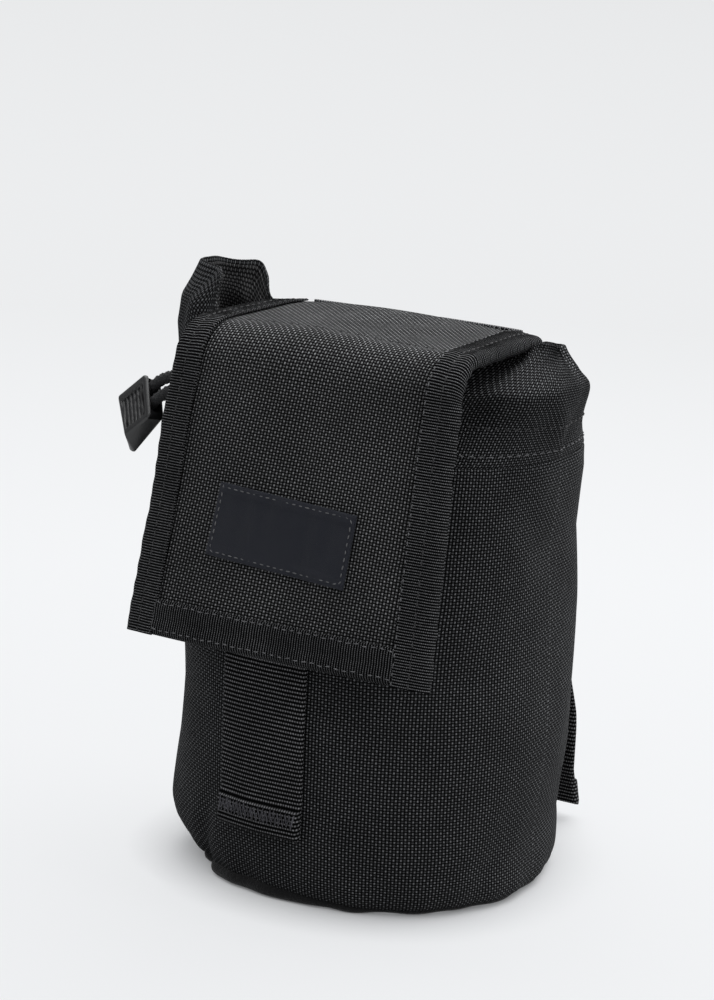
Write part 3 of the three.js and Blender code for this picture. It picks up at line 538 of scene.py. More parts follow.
def makeFloorPanel():
    # the round base: crowned a little upwards, so that the bag stands on its seam
    rings = [(1.0, 0.0), (0.98, 0.0), (0.8, 0.25), (0.5, 0.45), (0.2, 0.5), (0.0, 0.5)]
    edge = bagPoint(angles, 0, bagSag(angles, footing["panelAt"]) - footing["panelIn"])
    under = [edge * (share, share, 0) + (0, 0, rise) for share, rise in rings]
    over = [ring + (0, 0, footing["panelThick"]) for ring in under[::-1]]
    points = np.concatenate(under[:-1] + [under[-1][:1], over[0][:1]] + over[1:])
    count, bands = len(angles), len(rings) - 1
    middle, top = bands * count, bands * count + 2
    faces = []
    for i in range(count):
        j = (i + 1) % count
        for low in range(0, middle - count, count):
            faces += [(low + i, low + j, low + count + j, low + count + i),
                      (top + low + j, top + low + i, top + low + count + i, top + low + count + j)]
        last = middle - count
        faces += [(last + i, last + j, middle), (top + j, top + i, middle + 1), (i, top + last + i, top + last + j, j)]
    uvs = points[np.concatenate(faces)][:, :2]
    settle(clothMesh("floorPanel", points, faces, uvs, "nylon"), "woven_nylon", "base_panel")


def tubeLoops(path, ups, radius, around):
    # a round tube along a path; its turns start square to ups
    tangents = unit(np.gradient(path, axis=0))
    sides = unit(np.cross(tangents, ups))
    turn = circle(around)[None, :, None]
    return path[:, None] + radius * (np.cos(turn) * sides[:, None] + np.sin(turn) * np.cross(sides, tangents)[:, None])


def runUv(loops, closedAlong=False):
    # millimetres of cloth: round each loop, and along the stations
    around = np.linalg.norm(np.diff(np.concatenate([loops, loops[:, :1]], 1), axis=1), axis=-1).mean(0)
    middles = loops.mean(1)
    along = runAlong(closed(middles) if closedAlong else middles)
    return together(np.append(0, np.cumsum(around))[None, :], along[:, None])


def makeFootPiping():
    # the turned base seam shows as a low ridge round the foot; at the front left corner it swells thicker and further
    # out, a near-black stand-in for the shadow under the raised edge
    thick = footing["pipe"] + footing["cornerShadowThick"] * standsOff(angles)
    offset = -footing["pipeIn"] + footing["cornerShadowOut"] * standsOff(angles) + bagSag(angles, footing["panelAt"])
    path = bagPoint(angles, 1.2, offset + 0.25 * ripples(angles, 0, 12, 9, 10, 30, 0))
    path[:, 2] = thick + footing["pipeUp"] + 0.1 * ripples(angles, 0, 15, 7, 5, 20, 0)
    wrapped = np.pad(np.arange(len(angles)), 1, "wrap")
    loops = tubeLoops(path[wrapped], (0.0, 0.0, 1.0), thick[wrapped][:, None, None], 12)[1:-1]
    settle(loopMesh("footPiping", loops, runUv(loops, True), "footTapeAndShadow", closedAlong=True), "woven_nylon")


def makeSeamBinding():
    low, high, thick = (footing[f"binding{part}"] for part in ("Low", "High", "Thick"))
    middle = mix(low, high, 0.5)
    section = [(low, -0.25), (low + 0.5, 0), (middle, 0.1), (high - 0.5, 0), (high, -0.4), (high, -thick + 0.4),
               (high - 0.5, -thick), (middle, -thick), (low + 0.5, -thick), (low, -thick + 0.3)]
    inner = bag["wall"] + footing["bindingGap"]
    rows = [bagPoint(angles, z, bagSag(angles, z) - inner + offset) for z, offset in section]
    clothShell("footBinding", rows, "binding", "binding_tape", "base_seam_binding", turned=True)


def collarSag(angle, share):
    # the mouth's cloth caves in at the front beside the flap, and folds at the right ear
    degrees = np.degrees(angle) % 360
    rise = np.clip(share, 0, 1)
    puckers = smooth((share - mouth["puckerFrom"]) / mouth["puckerLength"]) * ripples(angle, 0, 21, 9, 11, 29, 0)
    puckers = puckers * (1 - 0.5 * (np.sin(angle) < 0))
    offset = bell(turnFrom(angle, mouth["bellyAt"]) / mouth["bellySpread"])
    offset = offset * smooth((mouth["bellyTop"] - rise) / mouth["bellyLength"]) * mouth["belly"]
    for at, drift, driftFrom, width, level, length, out in folds:
        across = degrees - at - drift * (rise - driftFrom)
        offset = offset + out * bell(across / width, (rise - level) / length)
    rolled = ripples(angle, rise * 2, 31, 7, 3, 9, 1.5) * smooth(rise / mouth["rippleLength"])
    return offset + mouth["ripple"] * rolled + mouth["pucker"] * puckers


def onCollar(angle, share, offset):
    return collarPoint(angle, share, collarSag(angle, share) + offset)


def makeCollar():
    shares = np.concatenate([np.linspace(0.02, 0.965, 46), [0.985, 0.997]])
    section = [(-0.02, -0.5), (0.0, -0.15)] + [(share, 0) for share in shares]
    section += [(1.008, -0.3), (1.012, -0.75), (1.008, -1.2), (0.99, -1.45)]
    section += [(share, -bag["wall"]) for share in np.linspace(0.96, 0.03, 26)] + [(0.0, -1.05)]
    rows = [onCollar(angles, share, offset) for share, offset in section]
    clothShell("collarCloth", rows, "nylon", "woven_nylon", "collar")


facing = {"foot": (collarTall - 16) / collarTall, "top": 0.985, "thickness": 0.8, "tunnel": 3.9, "gap": 1.5}


def makeFacing():
    foot, top = facing["foot"], facing["top"]
    shares = np.linspace(foot, top, 30)

    def inwards(share):
        t = (share - foot) / (top - foot)
        return -facing["gap"] - facing["tunnel"] * smooth(4.5 * np.minimum(t, 1 - t))
    section = [(share, inwards(share)) for share in shares] + [(top + 0.006, inwards(top) - 0.4)]
    section += [(share, inwards(share) - facing["thickness"]) for share in shares[::-1]]
    section += [(foot - 0.01, inwards(foot) - 0.4)]
    rows = [onCollar(angles, share, offset) for share, offset in section]
    clothShell("hemFacing", rows, "lining", "lining", "hem_facing")


for makePiece in (makeBag, makeFloorPanel, makeFootPiping, makeSeamBinding, makeCollar, makeFacing):
    makePiece()
print("bag made")


# The flap: its path runs from the back edge over the mouth and down the front

flap = {
    "halfWidth": 44.3, "thickness": 1.6, "rearY": 9, "topZ": 144.3, "bend": 11, "frontLength": 70.7, "curl": 4.5,
    "tapeWidth": 9.5, "tapeThickness": 0.7, "gap": 0.3, "ribPitch": 0.72, "ribDepth": 0.1, "ridge": 0.24,
    "stitchAt": 4.7, "underIt": 1.6 + 2 * 1.4 + 3 * 0.3,  # the strap, two fastener patches and the gaps
    "pressed": 0.6, "pressedLength": 8, "crown": 1.5, "rearCrown": 1.1, "rearLength": 30, "soft": 0.32,
    "wavy": 0.17, "wavyReach": 2.5, "offGrain": 0.05, "grainStretch": 1.03,
}
lean = math.atan2(bag["bellyDepth"] - bag["seamFront"], bag["seamHeight"] - bag["shoulderHeight"])
cornerY = (flap["topZ"] - bag["seamHeight"]) * math.tan(lean) - bag["seamFront"] - flap["underIt"] / math.cos(lean)
bendTurn = math.pi / 2 - lean
topLength = flap["rearY"] - cornerY - flap["bend"] * math.tan(bendTurn / 2)
foldAt = topLength + flap["bend"] * bendTurn
flapEnd = foldAt + flap["frontLength"]
flapEdges = {"at": [0, 12, 30, topLength, foldAt, foldAt + 8, foldAt + 16, foldAt + 32, flapEnd],
             "left": [40, 41.5, 43.3, 43.1, 43.6, 44.3, 44.8, 44.7, 46.2],
             "right": [39, 39.2, 39.6, 39.8, 39.4, 39.7, 40.2, 41.2, 43.8],
             "leftCurl": [0, 0, 0, 0, 2.2, 2.6, 3.0, 3.6, 4.3]}
tapeHigh = flap["thickness"] + flap["gap"] + flap["tapeThickness"]
tapeLow = -flap["gap"] - flap["tapeThickness"]
tapeMiddle, tapeRadius = (tapeHigh + tapeLow) / 2, (tapeHigh - tapeLow) / 2


def flapPath(s):
    angle = np.clip((s - topLength) / flap["bend"], 0, bendTurn)
    over, down = np.minimum(s, topLength), np.maximum(0, s - foldAt)
    y = flap["rearY"] - over - flap["bend"] * np.sin(angle) - down * np.cos(angle)
    z = flap["topZ"] - flap["bend"] * (1 - np.cos(angle)) - down * np.sin(angle)
    return y, z, -np.sin(angle), np.cos(angle)


def flapPoint(x, n, s):
    x, n, s = np.broadcast_arrays(np.asarray(x, float), n, s)
    y, z, ny, nz = flapPath(s)
    middle = flap["thickness"] / 2  # it is pressed thin at the rear edge
    n = middle + (n - middle) * mix(flap["pressed"], 1, smooth(s / flap["pressedLength"]))
    left, right, leftCurl = (np.interp(s, flapEdges["at"], flapEdges[name]) for name in ("left", "right", "leftCurl"))
    bent = np.clip((s - topLength) / (foldAt - topLength), 0, 1)
    side = np.abs(x) / flap["halfWidth"]
    crown = flap["crown"] + flap["rearCrown"] * smooth(1 - s / flap["rearLength"])
    crown = crown * (1 - side ** 2) * smooth(1 - bent)
    soft = flap["soft"] * ripples(x / 16, s / 15, 41, 6, 1, 3, 1.0) * (1 - side ** 4) + crown
    out = n - np.where(x < 0, leftCurl, flap["curl"] * bent) * side ** 3 + soft
    return np.stack([x * np.where(x < 0, left, right) / flap["halfWidth"], y + ny * out, z + nz * out], -1)


bendStart, bendEnd = ((0, *(float(part) * mm for part in flapPath(foldAt + step)[:2])) for step in (-2.5, 3.5))
wholeFlap = {"bodies": ("flap_top", "flap_front"), "start": bendStart, "end": bendEnd}
flapFront = {"bodies": ("flap_front",)}
sides = {"left": -1, "right": 1}


def makeFlapPanel():
    edge, thick = flap["halfWidth"] - flap["tapeThickness"] - flap["gap"], flap["thickness"]
    xs = np.linspace(-edge + 0.5, edge - 0.5, 76)
    turned = [(edge - 0.1, thick * 0.8), (edge, thick * 0.5), (edge - 0.1, thick * 0.2)]
    section = [(x, thick) for x in xs] + turned + [(x, 0) for x in xs[::-1]] + [(-x, thick - n) for x, n in turned]
    section = np.array(section)
    stations = np.linspace(0.4, flapEnd - 1.1, 150)[:, None]
    loops = flapPoint(section[None, :, 0], section[None, :, 1], stations)
    across = closed(section)[None, :, 0] + flap["offGrain"] * stations
    piece = loopMesh("flapPanel", loops, together(across, stations * flap["grainStretch"]), "flapNylonPaintedLighter")
    settle(piece, "woven_nylon", "flap_top_panel", "flap_front_panel", **wholeFlap)


def sheetUv(section, alongs):
    return together(runAlong(closed(section))[None, :], alongs.reshape(-1, 1))


def tapeSection():
    # a tape folded round an edge: (distance in from the edge, height), out along its face and back inside
    width, thickness = flap["tapeWidth"], flap["tapeThickness"]
    faces = np.linspace(width - 0.15, tapeRadius, 24)
    arc = np.radians(np.linspace(90, -90, 9)[1:-1])

    def path(inset):
        reach = tapeRadius - inset
        bend = [(tapeRadius - reach * math.cos(a), tapeMiddle + reach * math.sin(a)) for a in arc]
        return [(d, tapeHigh - inset) for d in faces] + bend + [(d, tapeLow + inset) for d in faces[::-1]]
    ends = [[(width, tapeLow + thickness / 2)], [(width, tapeHigh - thickness / 2)]]
    return np.array(path(0) + ends[0] + path(thickness)[::-1] + ends[1])


def makeTape(name, stations, place, depth, bodies, *nodes):
    # two soft ridges with the stitch line between them, and the ribs across
    section, stations = tapeSection(), stations[:, None]
    d, n = section[None, :, 0], section[None, :, 1]
    at = flap["stitchAt"]
    ridge = np.where(d < at, d / at, (d - at) / (flap["tapeWidth"] - at))
    ridge = np.sin(math.pi * np.clip(ridge, 0, 1))
    rib = np.abs(np.sin(math.pi * stations / flap["ribPitch"])) - 0.5
    face = (np.abs(n - tapeMiddle) > tapeRadius - 0.2) | (d < 1.2)
    lift = np.where(n > tapeMiddle, 1.0, -1.0) * (flap["ridge"] * ridge + flap["ribDepth"] * rib) * depth
    loops = place(d, n + np.where(face, lift, 0), stations)
    settle(loopMesh(name, loops, sheetUv(section, stations), "binding"), "binding_tape", *nodes, **bodies)


def makeTapes():
    for word, side in sides.items():
        def beside(d, n, s):
            wavy = flap["wavy"] * ripples(s / 5, 0, 97 + side, 9, 1, 9, 0) * bell(d / flap["wavyReach"])
            return flapPoint(side * (flap["halfWidth"] - d + wavy), n, s)
        makeTape(f"sideTape_{word}", np.arange(0.0, flapEnd + 0.05, flap["ribPitch"] / 5), beside, 1, wholeFlap,
                 f"flap_top_binding_{word}", f"flap_front_binding_{word}")
    edge = flap["halfWidth"] - flap["tapeWidth"] + 0.6
    makeTape("hemTape", np.arange(-edge, edge + 0.05, flap["ribPitch"] / 5),
             lambda d, n, x: flapPoint(x, n, flapEnd - d), 0.8, flapFront, "flap_front_binding_hem")


def sheetSection(width, thickness, count, edge=None):
    # a flat sheet's section: (across, through), with rounded edges
    edge = thickness * 0.5 if edge is None else edge
    xs = np.linspace(-width / 2 + edge, width / 2 - edge, count)
    turned = [(width / 2 - edge + edge * math.cos(a), thickness / 2 * (1 + math.sin(a)))
              for a in np.radians([60, 20, -20, -60])]
    ends = [(-x, thickness - n) for x, n in turned]
    return np.array([(x, thickness) for x in xs] + turned + [(x, 0) for x in xs[::-1]] + ends)


def roundedEnds(alongs, reach, least=0.03):
    run = alongs - alongs.min()
    near = np.clip(np.minimum(run, run.max() - run) / reach, 0, 1)
    return np.sqrt(np.maximum(1 - (1 - near) ** 2, least))


def makeSheet(name, section, alongs, place, finish, reach, relief=0, least=0.03):
    # place(across, through, along) gives a point. relief is added from the sheet's middle outwards.
    alongs = alongs[:, None]
    half = section[:, 1].max() / 2
    through = half + (section[None, :, 1] - half + relief) * roundedEnds(alongs, reach, least)
    return loopMesh(name, place(section[None, :, 0], through, alongs), sheetUv(section, alongs), finish)


label = {"width": 41.4, "height": 19, "thickness": 0.75, "centreX": -1.3, "aboveHem": 22.2, "tilt": 3.2, "lift": 1.9,
         "turned": 3.1, "fold": 0.18, "pucker": 0.12}


def labelPoint(x, along, n):
    # x from its middle, along from its top edge
    tilt, down = math.radians(label["tilt"]), along - label["height"] / 2
    across = label["centreX"] + x * math.cos(tilt) - down * math.sin(tilt)
    s = flapEnd - label["aboveHem"] - label["height"] / 2 + x * math.sin(tilt) + down * math.cos(tilt)
    return flapPoint(across, label["lift"] + n, s)


def makeLabel():
    ends, tall = np.array([0, 0.12, 0.4]), label["height"]
    alongs = np.concatenate([ends, np.linspace(0.9, tall - 0.9, 34), tall - ends[::-1]])
    section = sheetSection(label["width"], label["thickness"], 60)

    def place(x, through, along):
        low, high = label["turned"], tall - label["turned"]  # its ends are turned under
        fold = label["fold"] * (smooth((along - high) / 0.5) + smooth((low - along) / 0.5))
        puckers = label["pucker"] * ripples(x / 3, along / 5, 51, 7, 1, 4, 1)
        return labelPoint(x, along, through + (fold + puckers) * (section[None, :, 1] > 0.3))
    piece = makeSheet("labelPatch", section, alongs, place, "label", 0.9, least=0.04)
    settle(piece, "label_weave", "label", **flapFront)


# The strip that sews the flap to the back of the mouth: its path seen from the side, and where it bends
root = {
    "width": 70, "thickness": 0.9, "start": (0, 0.0128, 0.1425), "end": (0, 0.0086, 0.1455),
    "path": [(12.6, 139.5), (12.9, 141.6), (12.6, 143.5), (11.2, 144.6), (9.6, 144.9), (7.2, 144.9), (5.0, 144.9)],
}


def makeFlapRoot():
    section, path = sheetSection(root["width"], root["thickness"], 44), np.array(root["path"])
    run = runAlong(path)
    alongs = np.linspace(0, run[-1], 30)
    y, z = np.interp(alongs, run, path[:, 0]), np.interp(alongs, run, path[:, 1])
    slope = unit(np.stack([np.gradient(y), np.gradient(z)], -1))
    x, n = section[None, :, 0], section[None, :, 1] - root["thickness"] / 2
    loops = together(x, y[:, None] + n * slope[:, 1:], z[:, None] - n * slope[:, :1])
    piece = loopMesh("flapRoot", loops, sheetUv(section, alongs), "nylon")
    settle(piece, "woven_nylon", bodies=("pouch", "flap_top"), start=root["start"], end=root["end"])


for makePiece in (makeFlapPanel, makeTapes, makeLabel, makeFlapRoot):
    makePiece()
print("flap made")


# Webbing

strap = {
    "width": 25.4, "thickness": 1.6, "gap": 0.3, "ribPitch": 1.1, "ribDepth": 0.16,
    "frontX": -5.4, "frontBottom": 19, "frontTop": 80, "fold": 9,
    "backX": 19.05, "backTop": 146.9, "backEnd": 4, "split": 52.3,
    "rowHeights": (66, 104), "rowHalfLength": 37, "tailFlare": 0.32, "snapTop": 32.2, "snapFoot": 15.8,
    "snapStandOff": 4.9, "foldEase": 1.6, "frontSoft": 0.15, "freeOut": 2, "tailOut": 1.4, "tailFrom": 46,
    "tailLength": 20, "rowEase": 1.5, "rowPlay": 1.6, "edgeEase": 1.4, "freeLead": 0.8, "freeLength": 8,
    "eased": 0.35, "barAt": 24.5, "topTackAt": 145.9, "endTackAt": 9.5, "rowTacksAt": (-35.2, -1.2, 1.2, 35.2),
}


def bagSoft(x, z):  # how far the front's soft cloth stands out of the measured shape
    angle = np.arctan2(-standOut(x, z, "front"), x)
    return np.maximum(bagSag(angle, np.minimum(z, bag["seamHeight"])), 0) * (z < bag["seamHeight"])


def frontPoint(across, through, z, lift=0):
    folded = smooth((strap["frontBottom"] + strap["fold"] - z) / strap["foldEase"])
    x = strap["frontX"] + across
    out = strap["gap"] + through * (1 + folded) + strap["frontSoft"] * ripples(x / 8, z / 8, 61, 5, 1, 3, 1) + lift
    return together(x, -standOut(x, z, "front") - bagSoft(x, z) - out, z)


def backPoint(side, across, through, z, lift=0):
    # a back strap's free end hangs straight, and a little outwards
    centre, split = side * strap["backX"], strap["split"]
    x, held = centre + across, np.clip(z, split, bag["rimHeight"])
    free = smooth((split + strap["freeLead"] - z) / strap["freeLength"])
    y = mix(standOut(x, held, "back"), standOut(np.where(across * side > 0, centre, x), held, "back"), free)
    out = np.clip((split - z) / (split - strap["snapTop"]), 0, 1)
    loose = strap["snapStandOff"] * (smooth(out) * strap["eased"] + out * (1 - strap["eased"]))
    loose = loose + np.maximum(0, strap["snapFoot"] - z) * strap["tailFlare"]
    folded = smooth((strap["backEnd"] + strap["fold"] - z) / strap["foldEase"])
    tail = smooth((strap["tailFrom"] - z) / strap["tailLength"])
    x = x + side * (strap["freeOut"] * free + strap["tailOut"] * tail)
    return together(x, y + strap["gap"] + loose + through * (1 + folded) + lift, z)


def rowPoint(height, across, through, x, lift=0):
    # a webbing row steps out over each back strap
    reach, away = strap["width"] / 2 + strap["rowPlay"], np.abs(x) - strap["backX"]
    over = smooth((reach + away) / strap["rowEase"]) * smooth((reach - away) / strap["rowEase"])
    out = strap["gap"] + (strap["thickness"] + strap["gap"]) * over + through + lift
    return together(x, standOut(x, height + across, "back") + out, height + across)


def makeStrap(name, low, high, place, reach):
    # ribs stand up on both faces, and the woven edge is a little thinner
    section = sheetSection(strap["width"], strap["thickness"], 38, 0.7)
    alongs = np.arange(low, high, strap["ribPitch"] / 5)
    outward = np.sign(section[None, :, 1] - strap["thickness"] / 2)
    edge = smooth((strap["width"] / 2 - np.abs(section[None, :, 0])) / strap["edgeEase"])
    rib = np.abs(np.sin(math.pi * alongs[:, None] / strap["ribPitch"])) - 0.6
    return makeSheet(name, section, alongs, place, "webbing", reach, outward * edge * strap["ribDepth"] * rib)


settle(makeStrap("frontStrap", strap["frontBottom"], strap["frontTop"], frontPoint, 1.5), "webbing", "front_strap")
for word, side in sides.items():
    piece = makeStrap(f"backStrap_{word}", strap["backEnd"], strap["backTop"],
                      lambda across, through, z: backPoint(side, across, through, z), 1.2)
    split = strap["split"] * mm
    settle(piece, "webbing", f"back_strap_{word}", f"back_strap_end_{word}", bodies=("pouch", f"strap_end_{word}"),
           start=(0, 0.0504, split + 0.004), end=(0, 0.0504, split - 0.002))
for number, height in enumerate(strap["rowHeights"], 1):
    reach = strap["rowHalfLength"]
    piece = makeStrap(f"webbingRow_{number}", -reach, reach,
                      lambda across, through, x: rowPoint(height, across, through, x), 0.8)
    settle(piece, "webbing", f"webbing_row_{number}")
print("webbing made")


# Fastener patches under the flap

patch = {"halfWidth": 20, "low": 82, "high": 108, "loopThickness": 1.4, "hookThickness": 0.7, "hookPitch": 1.25,
         "hookHeight": 0.55, "seed": 6}
hookFrom = foldAt + (float(flapPath(foldAt)[1]) - patch["high"]) / math.cos(lean)
hookLength = (patch["high"] - patch["low"]) / math.cos(lean)


def loopPoint(x, through, z):
    return together(x, -standOut(x, z, "front") - bagSoft(x, z) * 0.5 - bag["gap"] - through, z)


def hookPoint(x, out, along):
    return flapPoint(x, -1.0 + out, hookFrom + along)


def makePatches():
    section = sheetSection(2 * patch["halfWidth"], patch["loopThickness"], 70)
    nap = np.random.default_rng(patch["seed"]).normal(0, 0.06, (48, len(section)))
    above = section[None, :, 1] > patch["loopThickness"] / 2
    piece = makeSheet("loopPatch", section, np.linspace(patch["low"], patch["high"], 48),
                      lambda x, through, z: loopPoint(x, through + nap * above, z), "loops", 0.9)
    settle(piece, "touch_fastener", "loop_patch")
    section = sheetSection(2 * patch["halfWidth"], patch["hookThickness"], 70)
    piece = makeSheet("hookPatch", section, np.linspace(0, hookLength, 48), hookPoint, "hooks", 0.6)
    settle(piece, "touch_fastener", "hook_patch", **flapFront)


makePatches()
print("patches made")


# Drawcord: braided, round the mouth, through its lock and round the tab's pin

cord = {"radius": 1.6, "step": 0.36, "around": 22, "strands": 3, "lay": 1.9, "relief": 0.34,
        "lockX": -25, "lockReach": 10, "lockFront": -29, "lockPress": 0.16}
cordPoints = [
    (-1.7, 17.8, 134.5), (-14.7, 17.6, 134.5), (-24.2, 17.0, 134.5), (-32.1, 16.0, 134.5), (-38.9, 14.6, 134.5),
    (-44.5, 13.2, 134.5), (-49.0, 13.3, 134.5), (-52.4, 11.5, 134.5), (-54.5, 7.8, 134.5), (-55.5, 2.7, 134.5),
    (-55.2, -3.9, 134.5), (-53.7, -8.1, 134.5), (-50.9, -11.7, 134.5), (-46.8, -14.9, 134.5), (-41.6, -17.6, 134.5),
    (-20.0, -22.6, 135.4), (-14.0, -23.1, 136.1), (-11.1, -27.0, 136.1), (-14.2, -30.8, 136.1), (-18.0, -30.3, 136.0),
    (-25.0, -30.3, 136.0), (-32.0, -30.3, 136.0), (-43.5, -30.6, 131.8), (-51.9, -30.4, 128.4), (-54.9, -30.2, 125.9),
    (-57.6, -29.9, 123.7), (-58.4, -30.0, 122.7), (-58.7, -30.4, 121.5), (-58.3, -31.1, 120.5), (-57.4, -31.9, 119.9),
    (-56.3, -32.5, 119.9), (-55.2, -32.8, 120.4), (-52.5, -33.0, 122.7), (-49.5, -33.3, 125.2),
    (-43.5, -32.1, 128.75), (-32.0, -31.3, 133.0), (-25.0, -31.3, 133.0), (-18.0, -31.3, 133.0),
    (-14.6, -30.8, 132.9), (-12.0, -27.0, 132.9), (-8.2, -23.4, 132.9), (-5.0, -23.4, 132.9), (1.0, -23.5, 133.7),
    (16.6, -22.8, 134.5), (24.4, -21.8, 134.5), (31.1, -20.2, 134.5), (37.0, -18.2, 134.5), (41.9, -15.8, 134.5),
    (45.8, -13.0, 134.5), (48.7, -9.7, 134.5), (50.5, -5.9, 134.5), (51.3, -1.4, 134.5), (51.0, 3.6, 134.5),
    (49.7, 6.7, 134.5), (47.4, 9.3, 134.5), (44.2, 11.5, 134.5), (40.0, 13.4, 134.5), (34.8, 14.9, 134.5),
    (28.7, 16.1, 134.5), (21.5, 17.0, 134.5), (13.1, 17.6, 134.5), (1.5, 17.8, 134.5),
]


def throughPoints(points, step):
    # a centripetal curve through the points, as the cord was measured
    points = np.array(points)
    points = np.vstack([2 * points[0] - points[1], points, 2 * points[-1] - points[-2]])
    fine = []
    for p0, p1, p2, p3 in zip(points, points[1:], points[2:], points[3:]):
        t1 = math.sqrt(np.linalg.norm(p1 - p0))
        t2 = t1 + math.sqrt(np.linalg.norm(p2 - p1))
        t3 = t2 + math.sqrt(np.linalg.norm(p3 - p2))
        t = np.linspace(t1, t2, 24, endpoint=False)[:, None]
        a1, a2, a3 = mix(p0, p1, t / t1), mix(p1, p2, (t - t1) / (t2 - t1)), mix(p2, p3, (t - t2) / (t3 - t2))
        b1, b2 = mix(a1, a2, t / t2), mix(a2, a3, (t - t1) / (t3 - t1))
        fine.append(mix(b1, b2, (t - t1) / (t2 - t1)))
    fine = np.vstack(fine + [points[-2:-1]])
    run = runAlong(fine)
    even = np.arange(0, run[-1], step)
    return np.stack([np.interp(even, run, fine[:, k]) for k in range(3)], -1), even


def makeCord():
    path, run = throughPoints(cordPoints, cord["step"])
    tangents, normals = unit(np.gradient(path, axis=0)), []
    normal = np.cross(tangents[0], (0.3, 0.2, 1.0))
    for tangent in tangents:  # carried along the path without twist
        normal = unit(normal - tangent * normal.dot(tangent))
        normals.append(normal)
    normals = np.array(normals)
    turn = circle(cord["around"])
    strands, lay = cord["strands"] * turn[None, :], run[:, None] / cord["lay"] * math.pi
    braid = np.abs(np.sin(strands + lay) * np.sin(strands - lay))
    ends = np.sqrt(np.clip(np.minimum(run, run[-1] - run) / 1.2, 0.08, 1))[:, None]
    held = np.exp(-((path[:, :1] - cord["lockX"]) / cord["lockReach"]) ** 4) * (path[:, 1:2] < cord["lockFront"])
    radius = cord["radius"] - cord["relief"] + cord["relief"] * 1.3 * braid - cord["lockPress"] * held
    radius = radius * ends
    loops = (path[:, None] + (radius * np.cos(turn))[..., None] * normals[:, None]
             + (radius * np.sin(turn))[..., None] * np.cross(tangents, normals)[:, None])
    settle(loopMesh("drawCord", loops, runUv(loops), "cord"), "cord", "drawcord")


makeCord()
print("cord made")


# Moulded and metal parts: the measured shapes with their edges eased

def easeEdges(name, node, body, slot, finish, width):
    work = bmesh.new()
    work.from_mesh(bpy.data.objects[node].data)
    bmesh.ops.remove_doubles(work, verts=work.verts, dist=1e-6)
    bmesh.ops.dissolve_limit(work, angle_limit=math.radians(1), verts=work.verts, edges=work.edges)
    sharp = [edge for edge in work.edges if len(edge.link_faces) == 2 and edge.calc_face_angle() > math.radians(28)]
    bmesh.ops.bevel(work, geom=sharp, offset=width * mm, segments=2, profile=0.6, affect="EDGES", clamp_overlap=True)
    mesh = bpy.data.meshes.new(name)
    work.to_mesh(mesh)
    work.free()
    facesOut(mesh)
    piece = finishPiece(name, mesh, finish)
    mesh.set_sharp_from_angle(angle=math.radians(40))
    settle(piece, slot, node, bodies=(body,))


easeEdges("cordLockBody", "cord_lock_body", "pouch", "moulded_plastic", "moulded", 0.25)
easeEdges("cordLockButton", "cord_lock_button", "lock_button", "moulded_plastic", "moulded", 0.25)
for word in sides:
    easeEdges(f"snapCap_{word}", f"snap_cap_{word}", f"strap_end_{word}", "snap_metal", "oxide", 0.12)


# The pull tab: a wedge with a recessed, ribbed face in a frame, and a slot for the cord

tab = {
    "mouth": (-53.7, -31.585, 124.3), "x": (-0.76718, 0.07402, -0.63715), "y": (0.49037, -0.57265, -0.65697),
    "z": (-0.41349, -0.81645, 0.40303), "start": -0.9, "top": -5.6, "half": 2.9, "round": 0.95, "recess": 0.65,
    "ribPitch": 1.5, "pinAt": 3.5, "pinRadius": 0.8, "slotRadius": 4.2, "slotHalf": 1.75, "swing": 20,
    "corner": 0.13, "pull": 9, "faceLow": (8.9, 8.7), "backLow": (6.6, 10.6), "faceLength": (12.4, 10.8),
    "backLength": (12.4, 14.2), "squeeze": 0.09, "ribFrom": 1.6, "field": (0.11, 0.87), "fieldMiddle": 0.04,
    "fieldHalf": 0.68,
}


def tabObject(name, local, faces):
    points = np.array(tab["mouth"]) + np.reshape(local, (-1, 3)) @ np.array([tab["x"], tab["y"], tab["z"]])
    mesh = newMesh(name, points, faces)
    facesOut(mesh)
    return addObject(name, mesh)


def prism(name, outline, half):
    count = len(outline)
    points = [(x, y, z) for z in (-half, half) for x, y in outline]
    walls = [(i, (i + 1) % count, count + (i + 1) % count, count + i) for i in range(count)]
    return tabObject(name, points, walls + [tuple(range(count))[::-1], tuple(range(count, 2 * count))])


def tabSection():
    # (across from -1 to 1, through from -1 to 1): the face, round to the back and home again
    corner, thick = tab["corner"], tab["round"] / tab["half"]
    face = np.concatenate([np.linspace(-1 + corner, -0.66, 4), [-0.62, -0.58], np.linspace(-0.5, 0.66, 10),
                           [0.7, 0.74], np.linspace(0.77, 1 - corner, 3)])
    turned = [(1 - corner + corner * math.cos(a), math.copysign(1 - thick + thick * abs(math.sin(a)), a or -1))
              for a in np.radians(np.linspace(78, -78, 11))]
    return np.array([(v, 1) for v in face] + turned + [(v, -1) for v in face[::-1]] + [(-v, -w) for v, w in turned])


